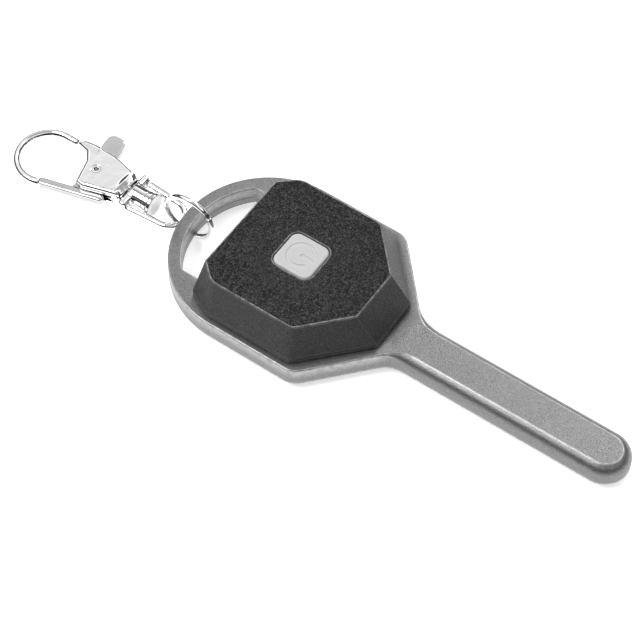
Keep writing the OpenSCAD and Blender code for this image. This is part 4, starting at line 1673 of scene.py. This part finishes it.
# ---------------------------------------------------------------- studio


@dataclass
class Studio:
    """Pale floor, soft lights, a bright surround with a dark band for the polished metal, and the camera."""

    target: tuple[float, float, float] = (12.036, -11.194, 14.59)
    azimuth: float = 34.87
    elevation: float = 55.76
    distance: float = 410.6
    lens: float = 127.74
    floor_size: float = 1.6
    floor_gap: float = 0.00002
    sky: float = 1.0
    bands: tuple = ((0.0, 0.8), (0.495, 0.8), (0.505, 0.03), (0.64, 0.05), (0.65, 0.3), (0.7, 0.3), (0.71, 0.04),
                    (0.79, 0.06), (0.82, 1.4), (0.86, 1.4), (0.895, 0.95), (0.925, 0.9), (0.945, 0.45), (0.98, 0.4),
                    (1.0, 0.6))
    dark_at: tuple[float, float] = (18.0, 12.0)
    dark_zone: tuple[float, float] = (24.0, 40.0)

    def floor(self) -> None:
        """A plain floor just under the object."""
        mesh = bpy.data.meshes.new("floor")
        half = self.floor_size / 2
        low = float(cad_bounds[0][2]) - self.floor_gap
        corners = np.array([(-half, -half, low), (half, -half, low), (half, half, low), (-half, half, low)])
        mesh.from_pydata(corners.tolist(), [], [(0, 1, 2, 3)])
        made = bpy.data.objects.new("floor", mesh)
        bpy.context.scene.collection.objects.link(made)
        paint = bpy.data.materials.new("pale_floor")
        paint.use_nodes = True
        shader = paint.node_tree.nodes["Principled BSDF"]
        shader.inputs["Base Color"].default_value = (0.93, 0.93, 0.93, 1)
        shader.inputs["Roughness"].default_value = 0.6
        shader.inputs["Specular IOR Level"].default_value = 0.1
        shader.inputs["Emission Color"].default_value = (1, 1, 1, 1)
        shader.inputs["Emission Strength"].default_value = 0.5
        mesh.materials.append(paint)

    def light(self, name: str, azimuth: float, elevation: float, size: tuple[float, float], power: float,
              distance: float = 0.6) -> None:
        """One soft box that faces the object.

        Args:
            name: its name.
            azimuth: degrees round, as the camera's.
            elevation: degrees up.
            size: width and height in metres.
            power: watts.
            distance: metres away.
        """
        data = bpy.data.lights.new(name, "AREA")
        data.shape = "RECTANGLE"
        data.size, data.size_y = size
        data.energy = power
        made = bpy.data.objects.new(name, data)
        back = away(azimuth, elevation)
        made.location = back * distance
        made.rotation_euler = back.to_track_quat("Z", "Y").to_euler()
        bpy.context.scene.collection.objects.link(made)

    def surround(self) -> None:
        """World: bright overhead, a dark band above the horizon, pale at the floor."""
        world = bpy.data.worlds.new("studio")
        bpy.context.scene.world = world
        world.use_nodes = True
        world.node_tree.nodes.clear()
        wire = Wiring(world.node_tree)
        way = wire.add("ShaderNodeTexCoord").outputs["Generated"]
        up = wire.add("ShaderNodeSeparateXYZ", {0: way}).outputs["Z"]
        bands = wire.add("ShaderNodeValToRGB", {0: wire.ramp(up, -1, 1, 0, 1, "LINEAR")})
        ramp = bands.color_ramp
        ramp.elements[0].position, ramp.elements[1].position = self.bands[0][0], self.bands[-1][0]
        for place, _ in self.bands[1:-1]:
            ramp.elements.new(place)
        for element, (_, shade) in zip(ramp.elements, self.bands):
            element.color = (shade, shade, shade, 1)
        front = away(*self.dark_at)
        facing = wire.add("ShaderNodeVectorMath", {0: way, 1: front}, operation="DOT_PRODUCT").outputs["Value"]
        inner, outer = self.dark_zone
        shade = wire.ramp(facing, math.cos(math.radians(outer)), math.cos(math.radians(inner)), 1.0, 0.04)
        light = wire.add("ShaderNodeBackground", {0: bands.outputs[0], 1: wire.maths("MULTIPLY", shade, self.sky)})
        wire.add("ShaderNodeOutputWorld", {0: light.outputs[0]})

    def camera(self) -> None:
        """Camera that looks at the target from the azimuth and elevation."""
        data = bpy.data.cameras.new("camera")
        data.lens = self.lens
        data.sensor_width = 36
        data.clip_start, data.clip_end = 0.01, 20
        made = bpy.data.objects.new("camera", data)
        back = away(self.azimuth, self.elevation)
        made.location = Vector(self.target) * MM + back * self.distance * MM
        made.rotation_euler = back.to_track_quat("Z", "Y").to_euler()
        bpy.context.scene.collection.objects.link(made)
        bpy.context.scene.camera = made

    def build(self) -> None:
        """Sets up the studio."""
        self.floor()
        self.surround()
        self.light("overhead", -44, 57, (0.3, 0.36), 3.0, 0.7)
        self.light("back_key", 188, 42, (0.4, 0.2), 2.6, 1.0)
        self.light("far_right", 150, 60, (0.3, 0.12), 0.5, 0.8)
        self.camera()
        bpy.context.scene.view_settings.view_transform = "Standard"


def away(azimuth: float, elevation: float) -> Vector:
    """Unit vector from the object towards an azimuth and elevation in degrees."""
    a, e = math.radians(azimuth), math.radians(elevation)
    return Vector((math.sin(a) * math.cos(e), -math.cos(a) * math.cos(e), math.sin(e)))


def main() -> None:
    """Builds the studio and every piece."""
    logging.basicConfig(level=logging.INFO, format="%(name)s: %(message)s")
    Studio().build()
    wardrobe = Wardrobe(FINISHES)
    for assembly in (KeyShells(), Cover(), Button(), Works(), JumpRing(), Swivel(), Clasp()):
        assembly.build(wardrobe)
        log.info("%s done", type(assembly).__name__)


if __name__ == "__main__":
    main()
